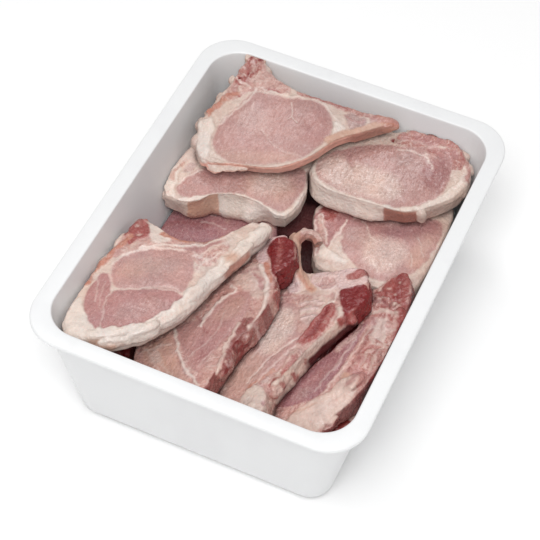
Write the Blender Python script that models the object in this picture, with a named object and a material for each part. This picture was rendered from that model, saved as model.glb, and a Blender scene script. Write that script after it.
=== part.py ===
"""Meat tray pack: a white plastic tub filled with raw bone-in pork loin chops.

Metres, +Z up. The origin is on the underside of the tub, under its middle.
The long side of the tub lies along Y.
"""
from dataclasses import dataclass
from math import atan2, cos, pi, radians, sin, tau

import bmesh
import bpy
from mathutils import Euler, Matrix, Vector

MM = 0.001
OBJECT_NAME = "meat_tray_pack"
CONTACT_GAP = 0.45 * MM

# ---- driving sizes of the tub, in millimetres ----
TUB_WIDTH = 240.0
TUB_LENGTH = 308.0
TUB_HEIGHT = 112.0
RIM_WIDTH = 12.0
RIM_CORNER = 29.0
RIM_LIP = 2.4
WALL = 5.0
BASE_INSET = 25.5
BASE_CORNER = 17.0
BASE_FILLET = 12.0
FLOOR = 4.5
CORNER_STEPS = 7
RIM_ROUNDING = 1.2

# ---- how the chops are meshed ----
OUTLINE_STEPS = 40
EDGE_ROUNDING = 3.2
WALL_CLEARANCE = 0.9


@dataclass(frozen=True)
class Finish:
    """Colour, roughness and metallic value of a material."""

    name: str
    colour: tuple
    roughness: float
    metallic: float = 0.0


TUB_PLASTIC = Finish("tub_plastic", (0.86, 0.86, 0.87), 0.38)
CHOP_MEAT = Finish("chop_meat", (0.52, 0.28, 0.26), 0.42)
DEEP_MEAT = Finish("deep_meat", (0.30, 0.09, 0.09), 0.40)


@dataclass(frozen=True)
class Chop:
    """One chop: a slab with an uneven outline, laid on a sloping plane.

    centre is the middle of its upper face in the tub's frame, tilt is its
    turn about X and about Y in degrees, and outline runs round the upper
    face in the chop's own plane. All lengths are millimetres.
    """

    name: str
    centre: tuple
    tilt: tuple
    thickness: float
    outline: tuple
    crown: float = 1.5
    taper: float = 0.95
    finish: Finish = CHOP_MEAT


# From the bottom of the pile to the top: each one is laid on those before it.
CHOPS = (
    Chop("scrap_under_front", (-79, -104, 60), (0, -3), 17,
         ((-17, 9), (-15, -14), (-1, -24), (17, -26), (17, 0), (9, 22), (-6, 26)), finish=DEEP_MEAT),
    Chop("chop_low_left", (-55, 13, 48), (3, 0), 17,
         ((-38, 35), (-41, 7), (-39, -21), (-25, -43), (5, -53), (30, -43), (41, -13), (41, 22),
          (25, 47), (-15, 53)), finish=DEEP_MEAT),
    Chop("chop_low_right", (73, -79, 50), (0, -6), 18,
         ((7, 49), (-13, 29), (-25, -1), (-23, -31), (-7, -49), (13, -43), (23, -21), (25, 4),
          (25, 44)), finish=DEEP_MEAT),
    Chop("chop_back_low", (50, 66, 60), (4, -1), 20,
         ((-48, 2), (-39, -24), (-30, -43), (-19, -47), (0, -44), (18, -47), (34, -42), (40, -52),
          (47, -26), (48, 9), (45, 42), (20, 52), (-15, 46), (-38, 19))),
    Chop("chop_back_middle", (-51, 70, 79), (9.6, 4.6), 19,
         ((-51, -46), (-45, -52), (-26, -49), (-14, -35), (4, -28), (22, -28), (39, -32), (45, -17),
          (45, 0), (40, 16), (51, 30), (21, 53), (-15, 49), (-39, 18), (-51, -21))),
    Chop("chop_back_right", (46, 106, 89.1), (11.3, -1.7), 19,
         ((-56, -26), (-43, -36), (-22, -37), (1, -36), (22, -34), (38, -23), (51, -9), (56, 7),
          (50, 21), (38, 33), (21, 37), (3, 34), (-15, 25), (-36, 11), (-53, -6))),
    Chop("chop_front_fourth", (68, -50, 64), (5.5, -15.6), 20,
         ((10, 67), (-11, 38), (-25, 5), (-36, -30), (-37, -62), (-19, -76), (8, -78), (16, -50),
          (25, -33), (32, -12), (35, 7), (36, 24), (36, 38), (35, 54), (31, 69), (20, 79))),
    Chop("chop_front_third", (31, -57, 71), (1.6, -17.7), 20,
         ((-30, 37), (-37, 12), (-45, -28), (-37, -65), (-12, -73), (13, -71), (10, -46), (16, -24),
          (23, -2), (32, 19), (39, 31), (45, 44), (40, 61), (30, 72), (16, 66), (-1, 61), (-20, 56))),
    Chop("chop_front_second", (-22, -57, 75), (0, -17.7), 20,
         ((-13, 32), (-31, -3), (-40, -43), (-25, -69), (2, -75), (28, -71), (28, -62), (29, -44),
          (31, -26), (37, -4), (38, 22), (31, 40), (40, 51), (32, 70), (17, 76), (9, 65))),
    Chop("chop_front_first", (-57, -61, 95.5), (-2.3, -2.3), 19,
         ((35, 72), (25, 56), (13, 40), (-7, 35), (-30, 41), (-40, 40), (-42, 21), (-45, -3),
          (-46, -27), (-46, -47), (-42, -67), (-32, -72), (-14, -66), (1, -53), (13, -35), (22, -11),
          (30, 19), (39, 51), (46, 72))),
    Chop("chop_top", (-29, 94, 102.6), (10.5, 0), 19,
         ((-58, 33), (-61, 19), (-66, -5), (-64, -32), (-52, -49), (-28, -43), (0, -35), (19, -18),
          (32, 4), (50, 20), (66, 36), (41, 35), (14, 34), (-11, 33), (-33, 38), (-46, 48), (-57, 49))),
)

# The curled strip of rind at the far end of the third front chop: it rises
# from the chop and bends over to the right, round a gap.
CURL_OWNER = "chop_front_third"
CURL_RADIUS = 4.6
CURL_PATH = ((30, -15, 67), (22, -8, 71), (14, 1, 74), (8.5, 12, 74), (6, 23, 74), (9, 31, 73.5),
             (15.5, 32.5, 72.5), (21, 28, 71))


def remove_everything():
    """Empty the scene that a new Blender file opens with."""
    for item in list(bpy.data.objects):
        bpy.data.objects.remove(item)


def make_collection(name):
    """Add a collection to the scene and return it."""
    collection = bpy.data.collections.new(name)
    bpy.context.scene.collection.children.link(collection)
    return collection


def make_material(finish):
    """Return the material of a finish, made once."""
    material = bpy.data.materials.get(finish.name)
    if material:
        return material
    material = bpy.data.materials.new(finish.name)
    material.use_nodes = True
    shader = material.node_tree.nodes["Principled BSDF"]
    shader.inputs["Base Color"].default_value = (*finish.colour, 1.0)
    shader.inputs["Roughness"].default_value = finish.roughness
    shader.inputs["Metallic"].default_value = finish.metallic
    return material


def loft(rings):
    """Skin a stack of rings of equal length and close both ends.

    The rings run anticlockwise seen from above, from the first, lowest or
    outermost one on.
    """
    mesh = bmesh.new()
    rows = [[mesh.verts.new(point) for point in ring] for ring in rings]
    count = len(rows[0])
    for lower, upper in zip(rows, rows[1:]):
        for index in range(count):
            after = (index + 1) % count
            mesh.faces.new((lower[index], lower[after], upper[after], upper[index]))
    mesh.faces.new(list(reversed(rows[0])))
    mesh.faces.new(rows[-1])
    bmesh.ops.triangulate(mesh, faces=mesh.faces)
    return mesh


def add_object(name, mesh, finish, collection):
    """Turn a bmesh into a smooth-shaded object in a collection."""
    data = bpy.data.meshes.new(name)
    mesh.to_mesh(data)
    mesh.free()
    data.shade_smooth()
    data.set_sharp_from_angle(angle=radians(40))
    data.materials.append(make_material(finish))
    item = bpy.data.objects.new(name, data)
    collection.objects.link(item)
    return item


# ---- the tub ----

def rounded_rectangle(inset, corner, height):
    """Return a rounded rectangle, inset from the rim's outer edge."""
    half_x = TUB_WIDTH / 2 - inset
    half_y = TUB_LENGTH / 2 - inset
    points = []
    for quarter, (side_x, side_y) in enumerate(((1, 1), (-1, 1), (-1, -1), (1, -1))):
        middle_x = side_x * (half_x - corner)
        middle_y = side_y * (half_y - corner)
        for step in range(CORNER_STEPS + 1):
            angle = (quarter + step / CORNER_STEPS) * pi / 2
            points.append(Vector((middle_x + corner * cos(angle),
                                  middle_y + corner * sin(angle), height)) * MM)
    return points


def wall_share(height):
    """Return how far down the wall a height lies: 0 at the rim, 1 at the foot."""
    return (TUB_HEIGHT - height) / TUB_HEIGHT


def outer_inset(height):
    """Inset of the wall's outer face at a height."""
    top = RIM_WIDTH - WALL
    return top + (BASE_INSET - top) * wall_share(height)


def inner_inset(height):
    """Inset of the wall's inner face at a height."""
    return outer_inset(height) + WALL


def corner_at(height, inset):
    """Corner radius at a height, smaller where the outline is further in."""
    top = RIM_CORNER - inset * 0.45
    return top + (BASE_CORNER - top) * wall_share(height) * 0.8


def fillet_sections(inset_at, foot, radius, steps=3):
    """Sections of the round edge between a wall and its floor, floor first."""
    sections = []
    for step in range(steps + 1):
        angle = step / steps * pi / 2
        height = foot + radius * (1 - cos(angle))
        inset = inset_at(foot + radius) + radius * (1 - sin(angle))
        sections.append((inset, max(corner_at(height, inset) - radius * (1 - sin(angle)), 5.0), height))
    return sections


def make_tub(collection):
    """Loft the tub in one skin: up the outside, over the rim, down the inside."""
    top = TUB_HEIGHT
    under_rim = top - RIM_LIP - 0.6
    outside = fillet_sections(outer_inset, 0.0, BASE_FILLET)
    for height in (top * 0.45, under_rim - 1.5):
        outside.append((outer_inset(height), corner_at(height, outer_inset(height)), height))
    rim = [
        (outer_inset(top) - 1.0, RIM_CORNER - 3.0, under_rim),
        (0.8, RIM_CORNER - 0.8, under_rim),
        (0.0, RIM_CORNER, top - RIM_LIP),
        (0.25, RIM_CORNER - 0.2, top - 0.9),
        (RIM_ROUNDING, RIM_CORNER - RIM_ROUNDING, top),
        (RIM_WIDTH - RIM_ROUNDING, RIM_CORNER - 5.0, top),
        (RIM_WIDTH + 0.1, RIM_CORNER - 5.6, top - RIM_ROUNDING),
    ]
    inside = []
    for height in (top * 0.45,):
        inside.append((inner_inset(height), corner_at(height, inner_inset(height)), height))
    inside += list(reversed(fillet_sections(inner_inset, FLOOR, BASE_FILLET - 3.0)))
    rings = [rounded_rectangle(*section) for section in outside + rim + inside]
    return add_object("tub", loft(rings), TUB_PLASTIC, collection)


def keep_inside_tub(point):
    """Move a point of the contents, in metres, clear of the tub's wall."""
    height = max(point.z / MM, FLOOR + WALL_CLEARANCE)
    inset = inner_inset(height) + WALL_CLEARANCE
    foot_rise = max(0.0, FLOOR + BASE_FILLET - height)
    inset += foot_rise
    corner = corner_at(height, inset)
    half_x = TUB_WIDTH / 2 - inset
    half_y = TUB_LENGTH / 2 - inset
    x = max(-half_x, min(half_x, point.x / MM))
    y = max(-half_y, min(half_y, point.y / MM))
    over_x = abs(x) - (half_x - corner)
    over_y = abs(y) - (half_y - corner)
    reach = (over_x ** 2 + over_y ** 2) ** 0.5
    if over_x > 0 and over_y > 0 and reach > corner:
        share = corner / reach
        x = (half_x - corner + over_x * share) * (1 if x > 0 else -1)
        y = (half_y - corner + over_y * share) * (1 if y > 0 else -1)
    return Vector((x, y, height)) * MM


# ---- the chops ----

def smooth_outline(points, steps):
    """Return evenly spaced points of the smooth closed curve through points."""
    fine = []
    count = len(points)
    for index in range(count):
        before, start, end, after = (Vector(points[(index + shift) % count]) for shift in (-1, 0, 1, 2))
        for part in range(8):
            t = part / 8
            fine.append(0.5 * (2 * start + (end - before) * t
                               + (2 * before - 5 * start + 4 * end - after) * t ** 2
                               + (3 * start - before - 3 * end + after) * t ** 3))
    lengths = [0.0]
    for here, there in zip(fine, fine[1:] + fine[:1]):
        lengths.append(lengths[-1] + (there - here).length)
    outline = []
    place = 0
    for step in range(steps):
        wanted = lengths[-1] * step / steps
        while lengths[place + 1] < wanted:
            place += 1
        share = (wanted - lengths[place]) / (lengths[place + 1] - lengths[place])
        outline.append(fine[place].lerp(fine[(place + 1) % len(fine)], share))
    return outline


def chop_rings(chop):
    """Return the rings of a chop in its own plane, underside first, in metres."""
    outline = smooth_outline(chop.outline, OUTLINE_STEPS)
    middle = sum(outline, Vector((0, 0))) / len(outline)
    depth = chop.thickness
    sections = (
        (0.55, -depth),
        (chop.taper, -depth + 0.6),
        (1.0, -depth + EDGE_ROUNDING * 1.4),
        (1.0, -EDGE_ROUNDING * 0.7),
        (0.97, 0.0),
        (0.55, chop.crown),
    )
    rings = []
    for reach, level in sections:
        rings.append([Vector((*(middle + (point - middle) * reach), level)) * MM for point in outline])
    return rings


def is_anticlockwise(outline):
    """Say whether an outline runs anticlockwise."""
    area = 0.0
    for here, there in zip(outline, outline[1:] + outline[:1]):
        area += here[0] * there[1] - there[0] * here[1]
    return area > 0


def make_chop(chop, collection):
    """Loft a chop and lay it in the tub, bent where the wall holds it."""
    place = Matrix.Translation(Vector(chop.centre) * MM)
    turn = Euler((radians(chop.tilt[0]), radians(chop.tilt[1]), 0)).to_matrix().to_4x4()
    world = place @ turn
    back = world.inverted()
    rings = []
    for ring in chop_rings(chop):
        rings.append([back @ keep_inside_tub(world @ point) for point in ring])
    item = add_object(chop.name, loft(rings), chop.finish, collection)
    item.matrix_world = world
    return item


def make_curl(collection):
    """Make the curled strip of rind as a closed, capped tube."""
    route = bpy.data.curves.new("rind_curl", "CURVE")
    route.dimensions = "3D"
    route.bevel_depth = CURL_RADIUS * MM
    route.bevel_resolution = 1
    route.use_fill_caps = True
    spline = route.splines.new("POLY")
    spline.points.add(len(CURL_PATH) - 1)
    for point, place in zip(spline.points, CURL_PATH):
        point.co = (*(Vector(place) * MM), 1.0)
    tube = bpy.data.objects.new("rind_curl_route", route)
    collection.objects.link(tube)
    bpy.context.view_layer.update()
    graph = bpy.context.evaluated_depsgraph_get()
    mesh = bmesh.new()
    mesh.from_mesh(bpy.data.meshes.new_from_object(tube.evaluated_get(graph)))
    bpy.data.objects.remove(tube)
    bmesh.ops.remove_doubles(mesh, verts=mesh.verts, dist=0.00002)
    bmesh.ops.triangulate(mesh, faces=mesh.faces)
    curl = add_object("rind_curl", mesh, CHOP_MEAT, collection)
    curl.hide_render = True
    curl.display_type = "WIRE"
    return curl


def join_curl(item, curl):
    """Add the curled strip of rind to the chop that it belongs to."""
    joint = item.modifiers.new("add_curl", "BOOLEAN")
    joint.operation = "UNION"
    joint.object = curl
    apply_booleans(item)


def make_pile(collection):
    """Make the meat under the chops that show: one body down to the floor."""
    outline = [(cos(step / OUTLINE_STEPS * tau), sin(step / OUTLINE_STEPS * tau))
               for step in range(OUTLINE_STEPS)]
    half_x = TUB_WIDTH / 2
    half_y = TUB_LENGTH / 2
    levels = ((0.5, FLOOR + 1), (0.62, FLOOR + 1), (0.86, 14), (0.92, 28), (0.75, 34), (0.4, 35))
    rings = []
    for reach, height in levels:
        ring = []
        for x, y in outline:
            bumps = 1.6 * sin(3 * atan2(y, x)) if height > 20 else 0.0
            square = 1 / max(abs(x), abs(y))
            spread = 1 + (square - 1) * 0.8
            point = Vector((x * spread * half_x * reach, y * spread * half_y * reach, height + bumps))
            ring.append(keep_inside_tub(point * MM))
        rings.append(ring)
    return add_object("chops_below", loft(rings), DEEP_MEAT, collection)


def box_of(item):
    """Return an object's lowest and highest corner in the world."""
    corners = [item.matrix_world @ vertex.co for vertex in item.data.vertices]
    low = Vector([min(corner[axis] for corner in corners) for axis in range(3)])
    high = Vector([max(corner[axis] for corner in corners) for axis in range(3)])
    return low, high


def boxes_meet(first, second):
    """Say whether the boxes of two objects come within the contact gap."""
    low_a, high_a = box_of(first)
    low_b, high_b = box_of(second)
    return all(low_a[axis] < high_b[axis] + CONTACT_GAP and low_b[axis] < high_a[axis] + CONTACT_GAP
               for axis in range(3))


def make_cutter(item, collection):
    """Copy an object, grown by the contact gap, to cut its neighbours with."""
    cutter = item.copy()
    cutter.data = item.data.copy()
    cutter.name = "cutter_" + item.name
    for vertex in cutter.data.vertices:
        vertex.co += vertex.normal * CONTACT_GAP
    cutter.hide_render = True
    cutter.display_type = "WIRE"
    collection.objects.link(cutter)
    return cutter


def keep_largest_body(mesh):
    """Delete every loose body of a bmesh but the one with most faces."""
    unseen = set(mesh.verts)
    bodies = []
    while unseen:
        body = set()
        edge_of_search = [unseen.pop()]
        while edge_of_search:
            vertex = edge_of_search.pop()
            body.add(vertex)
            for edge in vertex.link_edges:
                other = edge.other_vert(vertex)
                if other in unseen:
                    unseen.discard(other)
                    edge_of_search.append(other)
        bodies.append(body)
    bodies.sort(key=len)
    for body in bodies[:-1]:
        bmesh.ops.delete(mesh, geom=list(body), context="VERTS")


def bed_down(item, cutters):
    """Cut an object's underside to the shape of what it lies on."""
    for cutter in cutters:
        if not boxes_meet(item, cutter):
            continue
        cut = item.modifiers.new("bed_on_" + cutter.name, "BOOLEAN")
        cut.operation = "DIFFERENCE"
        cut.object = cutter
    if item.modifiers:
        apply_booleans(item)


def apply_booleans(item):
    """Put an object's cut mesh in place of its own, without loose slivers."""
    bpy.context.view_layer.update()
    graph = bpy.context.evaluated_depsgraph_get()
    result = bpy.data.meshes.new_from_object(item.evaluated_get(graph))
    item.modifiers.clear()
    mesh = bmesh.new()
    mesh.from_mesh(result)
    keep_largest_body(mesh)
    bmesh.ops.dissolve_degenerate(mesh, dist=0.00005, edges=mesh.edges)
    bmesh.ops.triangulate(mesh, faces=mesh.faces)
    mesh.to_mesh(result)
    mesh.free()
    item.data = result


def main():
    """Build the tub, then its contents from the floor up."""
    remove_everything()
    parts = make_collection(OBJECT_NAME)
    cutting = make_collection("cutters")
    make_tub(parts)
    cutters = [make_cutter(make_pile(parts), cutting)]
    for chop in CHOPS:
        assert is_anticlockwise(chop.outline), chop.name
        item = make_chop(chop, parts)
        bpy.context.view_layer.update()
        own_cutters = [make_cutter(item, cutting)]
        if chop.name == CURL_OWNER:
            curl = make_curl(cutting)
            own_cutters.append(make_cutter(curl, cutting))
            join_curl(item, curl)
        bed_down(item, cutters)
        cutters += own_cutters
    bpy.context.view_layer.update()


main()
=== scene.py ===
"""Looks of the meat tray pack: a white plastic tub of raw bone-in pork loin chops.

Each chop is sculpted from its CAD solid: the solid is turned into an even
skin, its tissues are laid on as named patches in the chop's own plane, and
each tissue lifts, dents and colours the skin under it. The tub is a section
swept round a rounded rectangle by Geometry Nodes.
"""
import logging
from dataclasses import dataclass, field
from enum import Enum
from math import cos, pi, radians, sin
from typing import Any, Sequence

import bmesh
import bpy
import numpy as np
from mathutils import Euler, Matrix, Vector


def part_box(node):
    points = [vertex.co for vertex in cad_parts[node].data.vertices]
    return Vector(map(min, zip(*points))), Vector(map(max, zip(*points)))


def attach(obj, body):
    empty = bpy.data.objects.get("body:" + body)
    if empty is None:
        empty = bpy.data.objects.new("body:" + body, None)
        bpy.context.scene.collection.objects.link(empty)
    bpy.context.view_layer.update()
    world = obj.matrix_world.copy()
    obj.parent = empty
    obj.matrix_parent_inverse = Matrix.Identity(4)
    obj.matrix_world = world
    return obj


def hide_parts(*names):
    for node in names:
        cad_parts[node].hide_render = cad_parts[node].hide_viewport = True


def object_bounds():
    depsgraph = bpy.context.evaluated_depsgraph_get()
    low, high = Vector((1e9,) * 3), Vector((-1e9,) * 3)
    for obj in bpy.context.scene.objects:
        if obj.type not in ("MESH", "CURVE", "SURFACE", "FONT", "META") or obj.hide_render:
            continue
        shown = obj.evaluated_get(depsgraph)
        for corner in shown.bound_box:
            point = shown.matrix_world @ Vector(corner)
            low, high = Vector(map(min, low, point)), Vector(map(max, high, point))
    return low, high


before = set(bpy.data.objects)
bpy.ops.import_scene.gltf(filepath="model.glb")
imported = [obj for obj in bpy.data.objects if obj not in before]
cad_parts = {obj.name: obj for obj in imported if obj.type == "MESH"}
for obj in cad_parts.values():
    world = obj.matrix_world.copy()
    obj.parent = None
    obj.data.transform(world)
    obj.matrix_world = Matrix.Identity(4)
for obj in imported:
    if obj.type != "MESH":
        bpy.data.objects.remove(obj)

CAD_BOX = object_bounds()
BODY = "root"
MM = 0.001

logging.basicConfig(level=logging.INFO, format="%(message)s")
log = logging.getLogger("meat_tray_pack")

Point = tuple[float, float]
Place = tuple[float, float, float]
Colour = tuple[float, float, float]


def kept(item: bpy.types.Object, name: str) -> bpy.types.Object:
    """Keep what an object's modifiers make of it.

    Args:
        item: The object; it is removed.
        name: The name of the result.

    Returns:
        A new object with the finished mesh and no modifiers.
    """
    bpy.context.view_layer.update()
    graph = bpy.context.evaluated_depsgraph_get()
    data = bpy.data.meshes.new_from_object(item.evaluated_get(graph))
    data.name = name
    bpy.data.objects.remove(item)
    made = bpy.data.objects.new(name, data)
    bpy.context.scene.collection.objects.link(made)
    return made


# ---- node graphs ----

class Wire:
    """A socket's value. Sums written with it add Math nodes to its graph."""

    def __init__(self, graph: "NodeGraph", socket: bpy.types.NodeSocket) -> None:
        """Keep the graph that the socket belongs to."""
        self.graph = graph
        self.socket = socket

    def _maths(self, operation: str, first: Any, second: Any) -> "Wire":
        """Return the result of a Math node on two values."""
        return self.graph.node("ShaderNodeMath", {"operation": operation}, {0: first, 1: second})

    def __add__(self, other: Any) -> "Wire":
        """Return the sum."""
        return self._maths("ADD", self, other)

    def __radd__(self, other: Any) -> "Wire":
        """Return the sum with a number on the left."""
        return self._maths("ADD", other, self)

    def __sub__(self, other: Any) -> "Wire":
        """Return the difference."""
        return self._maths("SUBTRACT", self, other)

    def __rsub__(self, other: Any) -> "Wire":
        """Return the difference from a number on the left."""
        return self._maths("SUBTRACT", other, self)

    def __mul__(self, other: Any) -> "Wire":
        """Return the product."""
        return self._maths("MULTIPLY", self, other)

    def __rmul__(self, other: Any) -> "Wire":
        """Return the product with a number on the left."""
        return self._maths("MULTIPLY", other, self)

    def __truediv__(self, other: Any) -> "Wire":
        """Return the quotient."""
        return self._maths("DIVIDE", self, other)

    def __rtruediv__(self, other: Any) -> "Wire":
        """Return the quotient of a number on the left."""
        return self._maths("DIVIDE", other, self)

    def over(self, other: Any) -> "Wire":
        """Return 1 where the value is above another and 0 elsewhere."""
        return self._maths("GREATER_THAN", self, other)

    def floor(self) -> "Wire":
        """Return the whole number below the value."""
        return self._maths("FLOOR", self, 0.0)

    def cosine(self) -> "Wire":
        """Return the cosine of the value."""
        return self._maths("COSINE", self, 0.0)

    def sine(self) -> "Wire":
        """Return the sine of the value."""
        return self._maths("SINE", self, 0.0)

    def spread(self, low: float, high: float) -> "Wire":
        """Return the value rescaled smoothly to run from 0 at low to 1 at high."""
        return self.graph.node("ShaderNodeMapRange", {"interpolation_type": "SMOOTHSTEP"},
                               {"Value": self, "From Min": low, "From Max": high})


class NodeGraph:
    """A node tree that is built with one method for every kind of node."""

    def __init__(self, tree: bpy.types.NodeTree) -> None:
        """Start on an empty tree."""
        self.tree = tree
        tree.nodes.clear()

    def feed(self, socket: bpy.types.NodeSocket, value: Any) -> None:
        """Link a wire to a socket, or set the socket to a plain value.

        Args:
            socket: An input of one of the graph's nodes.
            value: A wire, a number, or a tuple for a vector or a colour.
        """
        if isinstance(value, Wire):
            self.tree.links.new(value.socket, socket)
        elif isinstance(value, tuple) and len(value) == 3 and len(socket.default_value) == 4:
            socket.default_value = (*value, 1.0)
        else:
            socket.default_value = value

    def node(self, kind: str, settings: dict[str, Any] | None = None,
             sockets: dict[Any, Any] | None = None, output: Any = 0) -> Wire:
        """Add a node.

        Args:
            kind: The node's type.
            settings: Its settings, such as an operation; "stops" is a ramp's stops.
            sockets: Values or wires for its inputs, by name or number.
            output: The output that the wire comes from.

        Returns:
            The wire from that output.
        """
        node = self.tree.nodes.new(kind)
        for name, value in (settings or {}).items():
            if name == "stops":
                self._set_stops(node.color_ramp, value)
            else:
                setattr(node, name, value)
        for key, value in (sockets or {}).items():
            self.feed(node.inputs[key], value)
        outputs = node.outputs
        return Wire(self, outputs[output]) if len(outputs) else Wire(self, node.inputs[0])

    @staticmethod
    def _set_stops(ramp: bpy.types.ColorRamp, stops: Sequence[tuple[float, Colour]]) -> None:
        """Set a ramp's stops, each a place and a colour."""
        while len(ramp.elements) < len(stops):
            ramp.elements.new(1.0)
        for element, (place, colour) in zip(ramp.elements, stops):
            element.position = place
            element.color = (*colour, 1.0)

    def blend(self, first: Any, second: Any, share: Any, mode: str = "MIX") -> Wire:
        """Return a Mix node's colour, from first at share 0 to second at 1."""
        return self.node("ShaderNodeMix", {"data_type": "RGBA", "blend_type": mode},
                         {0: share, 6: first, 7: second}, output=2)

    def vector(self, operation: str, first: Any, second: Any) -> Wire:
        """Return the result of a Vector Math node."""
        return self.node("ShaderNodeVectorMath", {"operation": operation}, {0: first, 1: second})


# ---- materials ----

@dataclass(frozen=True)
class MeatFinish:
    """How the raw meat of a chop takes the light.

    cast tints the whole chop, wetness is its coat and grain the strength of
    its fibres. The scales are in waves per metre. The colours after them are
    laid over the painted tissues, each where its own noise is high; the glint
    colour among them is a painted highlight, pale glints laid into the colour
    where the tissue is wet.
    """

    name: str
    cast: Colour = (1.0, 1.0, 1.0)
    roughness: float = 0.42
    wetness: float = 0.12
    grain: float = 1.0
    blotch_scale: float = 110.0
    vein_scale: float = 190.0
    mottle_scale: float = 430.0
    fibre_scale: float = 900.0
    grain_scale: float = 1500.0
    fibre_stretch: Place = (1.0, 0.30, 1.0)
    marbling: Colour = (0.74, 0.56, 0.50)
    fibre_ends: Colour = (0.76, 0.60, 0.54)
    fat_stain: Colour = (0.62, 0.30, 0.24)
    bone_pore: Colour = (0.13, 0.012, 0.012)
    # A painted highlight: the colour of the pale glints on wet tissue.
    painted_glint_colour: Colour = (0.88, 0.79, 0.75)
    bone_fleck: Colour = (0.60, 0.26, 0.22)
    bump_height: float = 0.0006
    scatter: Colour = (1.0, 0.36, 0.26)

    def material(self) -> bpy.types.Material:
        """Make the material of a chop.

        Returns:
            A material that reads the colour and the tissue shares painted on
            the skin, and adds grain, marbling, pores, a wet sheen from its coat,
            and painted glints: pale highlights laid into the colour where it is wet.
        """
        material = bpy.data.materials.new(self.name)
        material.use_nodes = True
        graph = NodeGraph(material.node_tree)
        place = graph.node("ShaderNodeTexCoord", output="Object")
        tint = graph.node("ShaderNodeAttribute", {"attribute_name": "tint"}, output="Color")
        fatty, bony, wet = (graph.node("ShaderNodeAttribute", {"attribute_name": name}, output="Fac")
                            for name in ("fatty", "bony", "wet"))
        blotch = self._noise(graph, place, self.blotch_scale, 3.0)
        mottle = self._noise(graph, place, self.mottle_scale, 3.0)
        grain = self._noise(graph, place, self.grain_scale, 2.0)
        along = graph.vector("MULTIPLY", place, self.fibre_stretch)
        strands = self._noise(graph, along, self.fibre_scale, 3.0)
        lean = (1.0 - fatty) * (1.0 - bony)
        lit = graph.node("ShaderNodeSeparateColor", None, {0: tint}).spread(0.12, 0.32)

        tone = (0.80 + blotch * 0.16 + mottle * 0.24 * (0.45 + lean * 0.55)
                + (strands - 0.5) * lean * 0.34 * self.grain)
        grey = graph.node("ShaderNodeCombineColor", None, {0: tone, 1: tone, 2: tone})
        colour = graph.blend(tint, grey, 1.0, "MULTIPLY")
        vein = self._noise(graph, place, self.vein_scale, 4.0, 1.6) - 0.5
        ridge = 1.0 - graph.node("ShaderNodeMath", {"operation": "ABSOLUTE"}, {0: vein}) * 2.0
        marbling = ridge.spread(0.965, 1.0) * lean * lit * 0.22
        colour = graph.blend(colour, self.marbling, marbling)
        ends = strands.spread(0.56, 0.72) * grain.spread(0.46, 0.60) * lean * lit
        colour = graph.blend(colour, self.fibre_ends, ends * 0.42)
        stain = mottle.spread(0.56, 0.74) * blotch.spread(0.42, 0.60) * fatty
        colour = graph.blend(colour, self.fat_stain, stain * 0.40)
        pores = grain.spread(0.54, 0.68) * bony
        colour = graph.blend(colour, self.bone_pore, pores * 0.50)
        # Painted highlight: pale glints mixed into the base colour on wet, pale tissue.
        painted_glint_share = grain.spread(0.53, 0.62) * mottle.spread(0.40, 0.60) * wet * lit * (1.0 - bony * 0.85)
        colour = graph.blend(colour, self.painted_glint_colour, painted_glint_share * 0.60)
        flecks = mottle.spread(0.52, 0.62) * grain.spread(0.50, 0.60) * bony
        colour = graph.blend(colour, self.bone_fleck, flecks * 0.12)
        colour = graph.blend(colour, self.cast, 1.0, "MULTIPLY")

        dry = self.roughness + fatty * 0.08 + (mottle - 0.5) * 0.30
        roughness = dry - wet * 0.22
        bumps = strands * (0.3 + lean * 0.9) + mottle * 1.5 + grain * 0.35 + wet * mottle * 1.8
        normal = graph.node("ShaderNodeBump", None, {
            "Strength": 0.75, "Distance": self.bump_height * self.grain, "Height": bumps})
        shader = graph.node("ShaderNodeBsdfPrincipled", None, {
            "Base Color": colour, "Roughness": roughness, "Normal": normal,
            "Subsurface Weight": 0.05, "Subsurface Radius": self.scatter, "Subsurface Scale": 0.002,
            "Coat Weight": self.wetness, "Coat Roughness": 0.18, "Specular IOR Level": 0.44})
        graph.node("ShaderNodeOutputMaterial", None, {"Surface": shader})
        return material

    @staticmethod
    def _noise(graph: NodeGraph, place: Wire, scale: float, detail: float,
               distortion: float = 0.0) -> Wire:
        """Return a noise value, about 0.5, at a scale in waves per metre."""
        return graph.node("ShaderNodeTexNoise", None,
                          {"Vector": place, "Scale": scale, "Detail": detail, "Distortion": distortion})


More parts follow.
